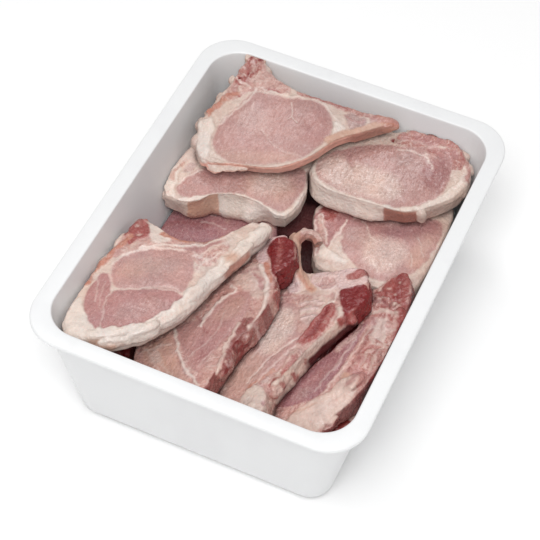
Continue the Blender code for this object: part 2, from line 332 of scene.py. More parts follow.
@dataclass(frozen=True)
class PlasticFinish:
    """Satin white food-grade plastic, with the faint texture of its mould."""

    name: str = "satin_white_plastic"
    colour: Colour = (0.755, 0.76, 0.765)
    flow_colour: Colour = (0.72, 0.72, 0.73)
    scuff_colour: Colour = (0.72, 0.715, 0.71)
    roughness: float = 0.36
    flow_scale: float = 26.0
    scuff_scale: float = 60.0
    skin_scale: float = 900.0

    def material(self) -> bpy.types.Material:
        """Return the material of the tub."""
        material = bpy.data.materials.new(self.name)
        material.use_nodes = True
        graph = NodeGraph(material.node_tree)
        place = graph.node("ShaderNodeTexCoord", output="Object")
        flow = graph.node("ShaderNodeTexNoise", None, {
            "Vector": graph.vector("MULTIPLY", place, (1.0, 1.0, 0.35)),
            "Scale": self.flow_scale, "Detail": 3.0})
        skin = graph.node("ShaderNodeTexNoise", None, {
            "Vector": place, "Scale": self.skin_scale, "Detail": 2.0})
        scuffs = graph.node("ShaderNodeTexNoise", None, {
            "Vector": graph.vector("MULTIPLY", place, (1.0, 1.0, 9.0)),
            "Scale": self.scuff_scale, "Detail": 4.0})
        scuffed = scuffs.spread(0.60, 0.75)
        shade = graph.blend(self.colour, self.flow_colour, flow.spread(0.45, 0.75) * 0.6)
        shade = graph.blend(shade, self.scuff_colour, scuffed * 0.18)
        roughness = self.roughness + (flow - 0.5) * 0.10 + scuffed * 0.10
        normal = graph.node("ShaderNodeBump", None, {
            "Strength": 0.25, "Distance": 0.0003, "Height": flow * 0.8 + skin * 0.10 + scuffed * 0.05})
        shader = graph.node("ShaderNodeBsdfPrincipled", None, {
            "Base Color": shade, "Roughness": roughness, "Normal": normal,
            "Subsurface Weight": 0.30, "Subsurface Radius": (1.0, 1.0, 1.0), "Subsurface Scale": 0.006,
            "IOR": 1.49})
        graph.node("ShaderNodeOutputMaterial", None, {"Surface": shader})
        return material


# ---- tissues and patches ----

@dataclass(frozen=True)
class TissueLook:
    """Colour of a tissue, and how fatty, bony, wet and torn it is, each 0 to 1."""

    colour: Colour
    fatty: float = 0.0
    bony: float = 0.0
    wet: float = 0.2
    torn: float = 0.0


class Tissue(Enum):
    """The tissues that a cut chop shows, with a near-black painted shade and a pale painted sheen laid on
    like them.
    """

    LEAN = TissueLook((0.475, 0.268, 0.245))
    ROSY = TissueLook((0.430, 0.210, 0.200))
    WARM = TissueLook((0.560, 0.345, 0.280))
    # Pale wet lean: partly the real paleness of wet meat, partly a painted sheen where light shines off
    # it.
    PALE_SHEEN = TissueLook((0.660, 0.490, 0.430), 0.0, 0.0, 1.0)
    DEEP = TissueLook((0.300, 0.105, 0.105))
    PURPLE = TissueLook((0.330, 0.145, 0.155))
    GREY = TissueLook((0.430, 0.285, 0.262), 0.0, 0.0, 0.5)
    SUET = TissueLook((0.900, 0.790, 0.720), 1.0, 0.0, 0.2)
    FAT = TissueLook((0.780, 0.680, 0.610), 1.0, 0.0, 0.2, 0.05)
    CREAM = TissueLook((0.690, 0.550, 0.475), 1.0, 0.0, 0.2, 0.25)
    BLUSH = TissueLook((0.555, 0.330, 0.285), 0.5, 0.0, 0.4, 0.8)
    SEAM = TissueLook((0.780, 0.650, 0.585), 0.8)
    VEIL = TissueLook((0.500, 0.300, 0.280), 0.4, 0.0, 0.6, 0.8)
    GRISTLE = TissueLook((0.700, 0.510, 0.490), 0.5, 0.0, 0.8)
    RIND = TissueLook((0.430, 0.185, 0.140), 0.5, 0.0, 0.1)
    HIDE = TissueLook((0.720, 0.380, 0.305), 0.5, 0.0, 0.1)
    TAN = TissueLook((0.600, 0.370, 0.275), 0.7, 0.0, 0.1, 0.1)
    RUST = TissueLook((0.500, 0.210, 0.145), 0.3, 0.4, 0.2, 0.4)
    SHAG = TissueLook((0.450, 0.200, 0.170), 0.3, 0.2, 0.6, 0.8)
    BONE = TissueLook((0.350, 0.078, 0.068), 0.0, 0.8, 0.6, 0.20)
    MARROW = TissueLook((0.205, 0.011, 0.013), 0.0, 1.0, 0.6)
    # Painted shade, not a tissue: near-black red laid where the chops lie in deep shade, in gaps and under
    # edges.
    PAINTED_SHADE = TissueLook((0.070, 0.004, 0.005), 0.0, 0.0, 0.1)


class Side(Enum):
    """The faces of a chop that a patch is laid on."""

    CUT = "cut face"
    EDGE = "outer edge"
    BOTH = "both"


@dataclass(frozen=True)
class Patch:
    """A patch of one tissue, in the chop's own plane, in millimetres.

    A closed patch fills its line, and an open one follows it with a width.
    rise is how far it stands proud, swell how much more its middle does, and
    foot how much further out the foot of the chop's side lies under it. thin
    is the share of the chop's thickness that is taken away from below, and
    below the depth under the upper face that the patch starts at. feather is
    the width of its soft border, ragged how far that border strays, and
    share how much the patch hides of what it is laid on.
    """

    tissue: Tissue
    line: tuple[Point, ...]
    closed: bool = True
    width: float = 0.0
    rise: float = 0.0
    swell: float = 0.0
    foot: float | None = None
    thin: float = 0.0
    below: float = 0.0
    feather: float = 2.0
    ragged: float = 1.2
    share: float = 1.0
    side: Side = Side.CUT


def area(tissue: Tissue, *line: Point, **more: Any) -> Patch:
    """Return a patch that fills a closed line."""
    return Patch(tissue, line, True, **more)


def strip(tissue: Tissue, width: float, *line: Point, **more: Any) -> Patch:
    """Return a patch of a width that follows an open line."""
    return Patch(tissue, line, False, width, **more)


def spot(tissue: Tissue, size: float, *places: Point, **more: Any) -> tuple[Patch, ...]:
    """Return one round patch of a size at each place."""
    return tuple(Patch(tissue, (place, place), False, size, **more) for place in places)


@dataclass(frozen=True)
class Lump:
    """A knob of tissue joined to a chop: an uneven ball, in the chop's frame.

    centre and size, its half lengths, are in millimetres, and turn is its
    turn about the frame's Z in degrees.
    """

    centre: Place
    size: Place
    turn: float = 0.0


class Noise:
    """Smooth seeded noise on points, the same each run.

    The large primes mix a cell's three whole numbers and the seed into one
    number that looks random.
    """

    X_PRIME = 73856093
    Y_PRIME = 19349663
    Z_PRIME = 83492791
    SEED_PRIME = 2654435761
    MIX_PRIME = 1274126177
    SEED_STEP = 17.31

    @classmethod
    def _corner(cls, cell: np.ndarray, seed: int) -> np.ndarray:
        """Return a number from -1 to 1 for each lattice cell."""
        x, y, z = cell.astype(np.int64).T
        mixed = x * cls.X_PRIME ^ y * cls.Y_PRIME ^ z * cls.Z_PRIME ^ (seed * cls.SEED_PRIME)
        mixed = (mixed ^ (mixed >> 13)) * cls.MIX_PRIME & 0xFFFFFFFF
        mixed = (mixed ^ (mixed >> 16)) & 0xFFFF
        return mixed / 32767.5 - 1.0

    @classmethod
    def wave(cls, points: np.ndarray, length: float, seed: int) -> np.ndarray:
        """Return noise of one wavelength.

        Args:
            points: Rows of x, y and z.
            length: The wavelength, in the points' unit.
            seed: Picks one of many unlike noises.

        Returns:
            A value from about -1 to 1 for each point.
        """
        scaled = points / length + seed * cls.SEED_STEP
        cell = np.floor(scaled)
        part = scaled - cell
        smooth = part * part * part * (part * (part * 6 - 15) + 10)
        total = np.zeros(len(points))
        for step in range(8):
            shift = np.array((step & 1, step >> 1 & 1, step >> 2 & 1), float)
            weight = np.prod(np.where(shift > 0, smooth, 1 - smooth), axis=1)
            total += weight * cls._corner(cell + shift, seed)
        return total

    @classmethod
    def layered(cls, points: np.ndarray, length: float, layers: int, seed: int) -> np.ndarray:
        """Return noise of several wavelengths, each half as long and strong as the last.

        Args:
            points: Rows of x, y and z.
            length: The longest wavelength, in the points' unit.
            layers: The number of wavelengths.
            seed: Picks one of many unlike noises.

        Returns:
            A value for each point, from about -2 to 2 when there are many layers.
        """
        total = np.zeros(len(points))
        strength = 1.0
        for layer in range(layers):
            total += cls.wave(points, length / 2 ** layer, seed + layer) * strength
            strength *= 0.5
        return total


@dataclass(frozen=True)
class Ripple:
    """A noise with a height and a wavelength, whose layers get shorter and lower."""

    height: float
    length: float
    layers: int
    shift: int

    def at(self, places: np.ndarray, seed: int) -> np.ndarray:
        """Return the ripple's value at each place, for a chop's seed."""
        return self.height * Noise.layered(places, self.length, self.layers, seed + self.shift)


def ease(values: np.ndarray, low: float, high: float) -> np.ndarray:
    """Return values rescaled smoothly to run from 0 at low to 1 at high."""
    share = np.clip((values - low) / (high - low), 0.0, 1.0)
    return share * share * (3 - 2 * share)


def rounded(line: Sequence[Point], closed: bool) -> np.ndarray:
    """Return a line with its corners rounded by cutting them twice.

    Args:
        line: The line's corners.
        closed: Whether the last corner joins the first.

    Returns:
        Rows of x and y. A line of two points stays as it is.
    """
    points = np.array(line, float)
    if not closed and len(points) <= 2:
        return points
    for _ in range(2):
        before = points if closed else points[:-1]
        after = np.roll(points, -1, axis=0) if closed else points[1:]
        cut = np.stack((before * 0.75 + after * 0.25, before * 0.25 + after * 0.75), 1).reshape(-1, 2)
        points = cut if closed else np.concatenate((points[:1], cut, points[-1:]))
    return points


def line_distance(places: np.ndarray, points: np.ndarray, closed: bool) -> np.ndarray:
    """Measure how far places are from a line.

    Args:
        places: Rows of x and y.
        points: The line's points, as rows of x and y.
        closed: Whether the last point joins the first.

    Returns:
        The distance of each place, negative inside a closed line.
    """
    ends = np.roll(points, -1, axis=0) if closed else points[1:]
    starts = points if closed else points[:-1]
    nearest = np.full(len(places), np.inf)
    inside = np.zeros(len(places), bool)
    for start, end in zip(starts, ends):
        run = end - start
        offset = places - start
        along = np.clip(offset @ run / max(run @ run, 1e-9), 0.0, 1.0)
        nearest = np.minimum(nearest, np.sum((offset - along[:, None] * run) ** 2, axis=1))
        if closed and start[1] != end[1]:
            crosses = (start[1] > places[:, 1]) != (end[1] > places[:, 1])
            inside ^= crosses & (offset[:, 0] < run[0] * offset[:, 1] / run[1])
    distance = np.sqrt(nearest)
    return np.where(inside, -distance, distance) if closed else distance


# ---- how a chop is made ----

@dataclass(frozen=True)
class ChopPlan:
    """What lies where on one chop.

    centre and tilt place the chop's own frame: the middle of its upper face
    in the tub, and its turn about X and Y in degrees. face and edge are the
    tissues under all patches. pitch is the size of the skin's faces, waves
    the height of its broadest ripples, and the last field is the depth under
    the upper face below which the colour is darkened: painted shade on the
    chop's lower sides.
    """

    node: str
    centre: Place
    tilt: tuple[float, float]
    finish: MeatFinish
    slot: str
    face: Tissue
    edge: Tissue
    patches: tuple[Patch | tuple[Patch, ...], ...] = ()
    lumps: tuple[Lump, ...] = ()
    seed: int = 1
    pitch: float = 0.8
    waves: float = 0.6
    # The depth below which the colour is darkened: painted shade on the chop's lower sides.
    painted_shade_from: float = 13.0

    def world(self) -> Matrix:
        """Return the matrix from the chop's frame, in metres, to the tub's."""
        turn = Euler((radians(self.tilt[0]), radians(self.tilt[1]), 0)).to_matrix().to_4x4()
        return Matrix.Translation(Vector(self.centre) * MM) @ turn


@dataclass(frozen=True)
class Speck:
    """A mark that torn tissue shows wherever its noise lies high enough.

    The mark starts at the noise's value low and is whole at high. share is
    how much of the tissue under it it hides, and lift how far it stands
    proud, in millimetres.
    """

    tissue: Tissue
    noise: Ripple
    low: float
    high: float
    share: float
    lift: float

    def mask(self, places: np.ndarray, seed: int) -> np.ndarray:
        """Return how whole the mark is at each place, from 0 to 1."""
        return ease(self.noise.at(places, seed), self.low, self.high)


@dataclass(frozen=True)
class ThreadRun:
    """Threads that run one way through torn tissue: their turn, and their noise's length."""

    turn: float
    length: float
    shift: int


TORN_SPECKS = (
    Speck(Tissue.ROSY, Ripple(1.0, 6.5, 3, 75), 0.10, 0.80, 0.65, -0.35),
    Speck(Tissue.DEEP, Ripple(1.0, 2.6, 2, 76), 0.30, 0.75, 0.50, -0.45),
    Speck(Tissue.CREAM, Ripple(1.0, 4.0, 2, 78), 0.35, 0.80, 0.60, 0.45),
)
THREAD_RUNS = (ThreadRun(0.5, 7.0, 73), ThreadRun(-0.7, 5.0, 74))
THREAD_SHARE = 0.65
THREAD_LIFT = 0.40
TEAR_HOLD = np.array((1, 1, 1, 0.6, 0.4, 0.5, 0.0))

LUMP_RIPPLE = Ripple(0.18, 0.9, 2, 0)
BROAD_SHADE = Ripple(0.07, 22.0, 2, 40)
FINE_SHADE = Ripple(0.05, 4.0, 2, 50)
WARMTH = Ripple(0.03, 14.0, 2, 60)
BROAD_WAVE = Ripple(1.0, 26.0, 1, 0)
MIDDLE_WAVE = Ripple(0.30, 9.0, 1, 1)
FAT_CURDS = Ripple(0.42, 8.0, 1, 2)
FAT_GRAIN = Ripple(0.13, 2.8, 2, 3)
BONE_KNOBS = Ripple(0.70, 4.2, 1, 4)
BONE_GRAIN = Ripple(0.35, 2.0, 1, 5)
LEAN_STRANDS = Ripple(0.14, 1.8, 1, 6)
LEAN_GRAIN = Ripple(0.10, 2.4, 1, 7)
TORN_RIPPLE = Ripple(0.5, 5.0, 2, 8)


@dataclass
class Sculptor:
    """Turns the plan of a chop into its skin, relief and colours.

    Lengths are in millimetres. cut_turn is the upward share of the normal
    over which the outer edge becomes the cut face, and under_turn that over
    which the underside, which stays smooth, becomes the side. A patch levels
    level_share of the relief that it is laid on.
    """

    plan: ChopPlan
    merge_distance: float = 0.00001
    smoothing: int = 4
    top_limit: float = 111.6
    cut_turn: tuple[float, float] = (0.35, 0.78)
    under_turn: tuple[float, float] = (-0.9, -0.3)
    foot_depth: tuple[float, float] = (1.0, 16.0)
    swell_reach: float = 5.0
    # Painted shade on a chop's lower sides: the depth over which it grows whole, then the share of the
    # colour it takes away.
    painted_shade_reach: float = 7.0
    painted_shade_share: float = 0.75
    bend_reach: float = 3.5
    level_share: float = 0.6
    below_blur: tuple[float, float] = (-1.5, 2.5)
    least_look: float = 0.01
    relief: np.ndarray = field(init=False)
    foot: np.ndarray = field(init=False)
    thin: np.ndarray = field(init=False)
    fatty: np.ndarray = field(init=False)
    bony: np.ndarray = field(init=False)
    torn: np.ndarray = field(init=False)

    def piece(self) -> bpy.types.Object:
        """Build, paint and place the chop.

        Returns:
            The finished object, which replaces its CAD node.
        """
        item = self._skin()
        places, normals = self._read(item.data)
        self._paint(item.data, places, normals)
        self._lift(item.data, places, normals)
        item.data.materials.clear()
        item.data.materials.append(self.plan.finish.material())
        item.data.shade_smooth()
        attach(item, BODY)
        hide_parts(self.plan.node)
        log.info("%s: %d faces", item.name, len(item.data.polygons))
        return item

    def _skin(self) -> bpy.types.Object:
        """Return the chop's solid, with its lumps joined, as an even skin."""
        mesh = bmesh.new()
        mesh.from_mesh(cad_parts[self.plan.node].data)
        bmesh.ops.remove_doubles(mesh, verts=mesh.verts, dist=self.merge_distance)
        world = self.plan.world()
        for lump in self.plan.lumps:
            place = (world @ Matrix.Translation(Vector(lump.centre) * MM)
                     @ Matrix.Rotation(radians(lump.turn), 4, "Z")
                     @ Matrix.Diagonal((*(Vector(lump.size) * MM), 1.0)))
            knob = bmesh.ops.create_icosphere(mesh, subdivisions=4, radius=1.0)["verts"]
            spots = np.array([vertex.co for vertex in knob])
            uneven = 1 + LUMP_RIPPLE.at(spots + lump.centre, self.plan.seed)
            for vertex, reach in zip(knob, uneven):
                vertex.co = place @ (vertex.co * reach)
        data = bpy.data.meshes.new(self.plan.node + "_clay")
        mesh.to_mesh(data)
        mesh.free()
        clay = bpy.data.objects.new(self.plan.node + "_clay", data)
        bpy.context.scene.collection.objects.link(clay)
        remesh = clay.modifiers.new("even_skin", "REMESH")
        remesh.mode = "VOXEL"
        remesh.voxel_size = self.plan.pitch * MM
        relax = clay.modifiers.new("relax", "SMOOTH")
        relax.factor = 0.5
        relax.iterations = self.smoothing
        return kept(clay, "meat_" + self.plan.node)

    def _read(self, data: bpy.types.Mesh) -> tuple[np.ndarray, np.ndarray]:
        """Read a mesh in the chop's own frame.

        Args:
            data: The mesh, in metres in the tub's frame.

        Returns:
            Its vertices in millimetres and their normals, as rows.
        """
        back = np.array(self.plan.world().inverted())
        count = len(data.vertices)
        places = np.zeros(count * 3)
        data.vertices.foreach_get("co", places)
        places = places.reshape(-1, 3) @ back[:3, :3].T + back[:3, 3]
        normals = np.zeros(count * 3)
        data.vertices.foreach_get("normal", normals)
        return places / MM, normals.reshape(-1, 3) @ back[:3, :3].T

    def _flat_patches(self) -> list[Patch]:
        """Return the plan's patches, with the groups of spots taken apart."""
        flat: list[Patch] = []
        for entry in self.plan.patches:
            flat += list(entry) if isinstance(entry, tuple) else [entry]
        return flat

    def _paint(self, data: bpy.types.Mesh, places: np.ndarray, normals: np.ndarray) -> None:
        """Lay the patches on the skin: colour, tissue shares and relief, with painted shade darkening its
        lower part.

        Args:
            data: The skin, which gets the colour and the shares as attributes.
            places: Its vertices in the chop's frame, in millimetres.
            normals: Their normals in that frame.
        """
        seed = self.plan.seed * 31
        cut_face = ease(normals[:, 2], *self.cut_turn)
        looks = {Side.CUT: cut_face, Side.EDGE: 1 - cut_face, Side.BOTH: np.ones(len(places))}
        values = np.zeros((len(places), 7))
        for tissue, share in ((self.plan.edge, 1 - cut_face), (self.plan.face, cut_face)):
            values += share[:, None] * self._target(tissue)
        self.relief = np.zeros(len(places))
        self.foot = np.zeros(len(places))
        self.thin = np.zeros(len(places))
        drift = np.stack([Noise.layered(places, 6.0, 3, seed + shift) for shift in (3, 9)], 1)
        for patch in self._flat_patches():
            line = rounded(patch.line, patch.closed)
            margin = patch.width + patch.feather + patch.ragged * 2 + 1
            near = np.all(places[:, :2] > line.min(0) - margin, axis=1)
            near &= np.all(places[:, :2] < line.max(0) + margin, axis=1)
            near &= looks[patch.side] > self.least_look
            if not near.any():
                continue
            warped = places[near, :2] + drift[near] * patch.ragged
            distance = line_distance(warped, line, patch.closed) - (0 if patch.closed else patch.width / 2)
            shape = ease(-distance, -patch.feather / 2, patch.feather / 2) * looks[patch.side][near]
            if patch.below:
                depth = -places[near, 2] + drift[near, 0] * patch.ragged
                starts, whole = (patch.below + blur for blur in self.below_blur)
                shape = shape * ease(depth, starts, whole)
            mask = shape * patch.share
            values[near] += mask[:, None] * (self._target(patch.tissue) - values[near])
            depth = np.clip(-distance, 0, None)
            proud = patch.rise + patch.swell * (1 - np.exp(-depth / self.swell_reach))
            levelled = self.relief[near] * (1 - mask * self.level_share)
            self.relief[near] = levelled + mask * proud
            if patch.foot is not None:
                self.foot[near] += shape * (patch.foot - self.foot[near])
            self.thin[near] = np.maximum(self.thin[near], shape * patch.thin)
        self._tear(values, places, seed)
        shade = 1 + BROAD_SHADE.at(places, seed) + FINE_SHADE.at(places, seed)
        warmth = WARMTH.at(places, seed)
        # Painted shade: the colour darkens below a depth under the upper face, towards the underside.
        low = ease(-places[:, 2], self.plan.painted_shade_from, self.plan.painted_shade_from + self.painted_shade_reach)
        colours = values[:, :3] * (shade * (1 - self.painted_shade_share * low))[:, None]
        colours[:, 0] *= 1 + warmth
        colours[:, 2] *= 1 - warmth
        tint = np.column_stack((np.clip(colours, 0, 1), np.ones(len(places))))
        self._store(data, "tint", "FLOAT_COLOR", tint)
        for index, name in enumerate(("fatty", "bony", "wet", "torn")):
            self._store(data, name, "FLOAT", np.clip(values[:, 3 + index], 0, 1))
        self.fatty, self.bony, self.torn = values[:, 3], values[:, 4], values[:, 6]

    @staticmethod
    def _target(tissue: Tissue) -> np.ndarray:
        """Return a tissue's colour and shares as one row."""
        look = tissue.value
        return np.array((*look.colour, look.fatty, look.bony, look.wet, look.torn))

    def _tear(self, values: np.ndarray, places: np.ndarray, seed: int) -> None:
        """Draw white threads and red flecks through the torn tissues, with their relief.

        Args:
            values: Each vertex's colour and tissue shares, changed in place.
            places: The vertices in the chop's frame, in millimetres.
            seed: The chop's seed.
        """
        torn = values[:, 6].copy()
        bends = [Noise.layered(places, 12.0, 2, seed + shift) for shift in (70, 71, 72)]
        bent = places + self.bend_reach * np.stack(bends, 1)
        threads = np.zeros(len(places))
        for run in THREAD_RUNS:
            turned = np.array(((cos(run.turn), -sin(run.turn)), (sin(run.turn), cos(run.turn))))
            along = bent[:, :2] @ turned
            drawn = np.column_stack((along[:, 0] * 0.35, along[:, 1], bent[:, 2] * 0.6))
            thread = ease(-np.abs(Noise.layered(drawn, run.length, 3, seed + run.shift)), -0.13, -0.01)
            present = ease(Noise.wave(places, 13.0, seed + run.shift + 20), -0.35, 0.45)
            threads = np.maximum(threads, thread * present)
        lift = THREAD_LIFT * threads
        marks = []
        for speck in TORN_SPECKS:
            mask = speck.mask(bent, seed)
            lift = lift + speck.lift * mask
            marks.append((mask * speck.share, speck.tissue))
        for mask, tissue in (*marks, (threads * THREAD_SHARE, Tissue.SEAM)):
            values += (mask * torn)[:, None] * TEAR_HOLD * (self._target(tissue) - values)
        self.relief += torn * lift

    @staticmethod
    def _store(data: bpy.types.Mesh, name: str, kind: str, values: np.ndarray) -> None:
        """Store values on a mesh's vertices.

        Args:
            data: The mesh.
            name: The attribute's name, which the material reads.
            kind: FLOAT_COLOR or FLOAT.
            values: A row, or a number, for each vertex.
        """
        attribute = data.attributes.new(name, kind, "POINT")
        key = "color" if kind == "FLOAT_COLOR" else "value"
        attribute.data.foreach_set(key, values.astype(np.float32).ravel())

    def _lift(self, data: bpy.types.Mesh, places: np.ndarray, normals: np.ndarray) -> None:
        """Move the skin along its normals by the relief of its tissues.

        Args:
            data: The skin, whose vertices are moved.
            places: Its vertices in the chop's frame, in millimetres.
            normals: Their normals in that frame.
        """
        seed = self.plan.seed * 57
        lean = (1 - self.fatty) * (1 - self.bony)
        height = self.relief + self.foot * ease(-places[:, 2], *self.foot_depth)
        height += self.plan.waves * BROAD_WAVE.at(places, seed)
        height += MIDDLE_WAVE.at(places, seed)
        height += self.fatty * (FAT_CURDS.at(places, seed) + FAT_GRAIN.at(places, seed))
        height += self.bony * (BONE_KNOBS.at(places, seed) + BONE_GRAIN.at(places, seed))
        height += self.torn * TORN_RIPPLE.at(places, seed)
        strands = LEAN_STRANDS.at(places * np.array((1.0, 0.35, 1.0)), seed)
        height += lean * (strands + LEAN_GRAIN.at(places, seed))
        height *= ease(normals[:, 2], *self.under_turn)
        thinned = places.copy()
        thinned[:, 2] = np.where(places[:, 2] < 0, places[:, 2] * (1 - self.thin), places[:, 2])
        moved = (thinned + normals * height[:, None]) * MM
        world = np.array(self.plan.world())
        moved = moved @ world[:3, :3].T + world[:3, 3]
        moved[:, 2] = np.minimum(moved[:, 2], self.top_limit * MM)
        moved = Tub().hold(moved / MM) * MM
        data.vertices.foreach_set("co", moved.ravel())
        data.update()


@dataclass
class PaintedContactShade:
    """Paints shade into the chops' colours where they lie close together, in the gaps and creases between
    them.

    The chops are marked on a grid of cells in millimetres. A place is painted dark
    where the grid, read at a reach out from the skin, is full of other chops:
    not yet at the first share of fullness, and fully at the second.
    """

    cell: float = 1.5
    margin: float = 6.0
    passes: int = 3
    reach: float = 2.2
    # depth is the most that the painted shade takes from a colour, and colour the deep red it darkens
    # towards.
    depth: float = 0.72
    fullness: tuple[float, float] = (0.12, 0.45)
    colour: Colour = (0.055, 0.004, 0.004)

    def __post_init__(self) -> None:
        """Lay the grid over the whole object."""
        self.low = np.array(CAD_BOX[0], float) / MM - self.margin
        self.high = np.array(CAD_BOX[1], float) / MM + self.margin
        self.shape = np.ceil((self.high - self.low) / self.cell).astype(int)

    def _cells(self, places: np.ndarray) -> tuple[np.ndarray, ...]:
        """Return the grid cells that places in millimetres lie in."""
        found = np.clip(((places - self.low) / self.cell).astype(int), 0, self.shape - 1)
        return found[:, 0], found[:, 1], found[:, 2]

    def _blurred(self, grid: np.ndarray) -> np.ndarray:
        """Return a grid whose values have spread to the cells about them."""
        for _ in range(self.passes):
            for axis in range(3):
                grid = (grid + np.roll(grid, 1, axis) + np.roll(grid, -1, axis)) / 3
        return grid

    def darken(self, pieces: Sequence[bpy.types.Object]) -> None:
        """Paint shade into the colours of the pieces where they lie near each other.

        Args:
            pieces: The finished chops, each painted with its tint.
        """
        read = []
        total = np.zeros(self.shape, np.float32)
        for piece in pieces:
            count = len(piece.data.vertices)
            places, normals = np.zeros(count * 3), np.zeros(count * 3)
            piece.data.vertices.foreach_get("co", places)
            piece.data.vertices.foreach_get("normal", normals)
            places = places.reshape(-1, 3) / MM
            own = np.zeros(self.shape, np.float32)
            own[self._cells(places)] = 1.0
            total += own
            read.append((places, normals.reshape(-1, 3), own))
        for piece, (places, normals, own) in zip(pieces, read):
            # Painted shade: each place darkens towards the shade colour as the grid just outside it fills
            # with other chops.
            close = self._blurred(total - own)[self._cells(places + normals * self.reach)]
            share = (self.depth * ease(close, *self.fullness))[:, None]
            tint = piece.data.attributes["tint"].data
            colours = np.zeros(len(places) * 4, np.float32)
            tint.foreach_get("color", colours)
            colours = colours.reshape(-1, 4)
            colours[:, :3] += share * (np.array(self.colour) - colours[:, :3])
            tint.foreach_set("color", colours.ravel())


# ---- the chops: their finishes, then their plans ----

TOP_MEAT = MeatFinish("top_pork", (0.90, 0.865, 0.86), 0.37, 0.22)
PALE_MEAT = MeatFinish("pale_pork", (1.00, 0.96, 0.95), 0.36, 0.26)
ROSE_MEAT = MeatFinish("rose_pork", (0.95, 0.925, 0.92), 0.37, 0.22)
MOIST_MEAT = MeatFinish("moist_pork", (0.90, 0.86, 0.85), 0.31, 0.38, 1.3)
DARK_MEAT = MeatFinish("dark_pork", (0.91, 0.84, 0.84), 0.35, 0.26)
LOW_MEAT = MeatFinish("low_pork", (1.02, 0.98, 0.98), 0.36, 0.22)
# Painted shade: a darkened copy of the meat for the pieces seen only in the deep gaps.
SHADED_MEAT = MeatFinish("shaded_pork", (0.60, 0.48, 0.48), 0.50, 0.08)

(LEAN, ROSY, WARM, PALE_SHEEN, DEEP, PURPLE, GREY, SUET, FAT, CREAM, BLUSH, SEAM, VEIL, GRISTLE, RIND,
 HIDE, TAN, RUST, SHAG, BONE, MARROW, PAINTED_SHADE) = Tissue
EDGE, BOTH = Side.EDGE, Side.BOTH

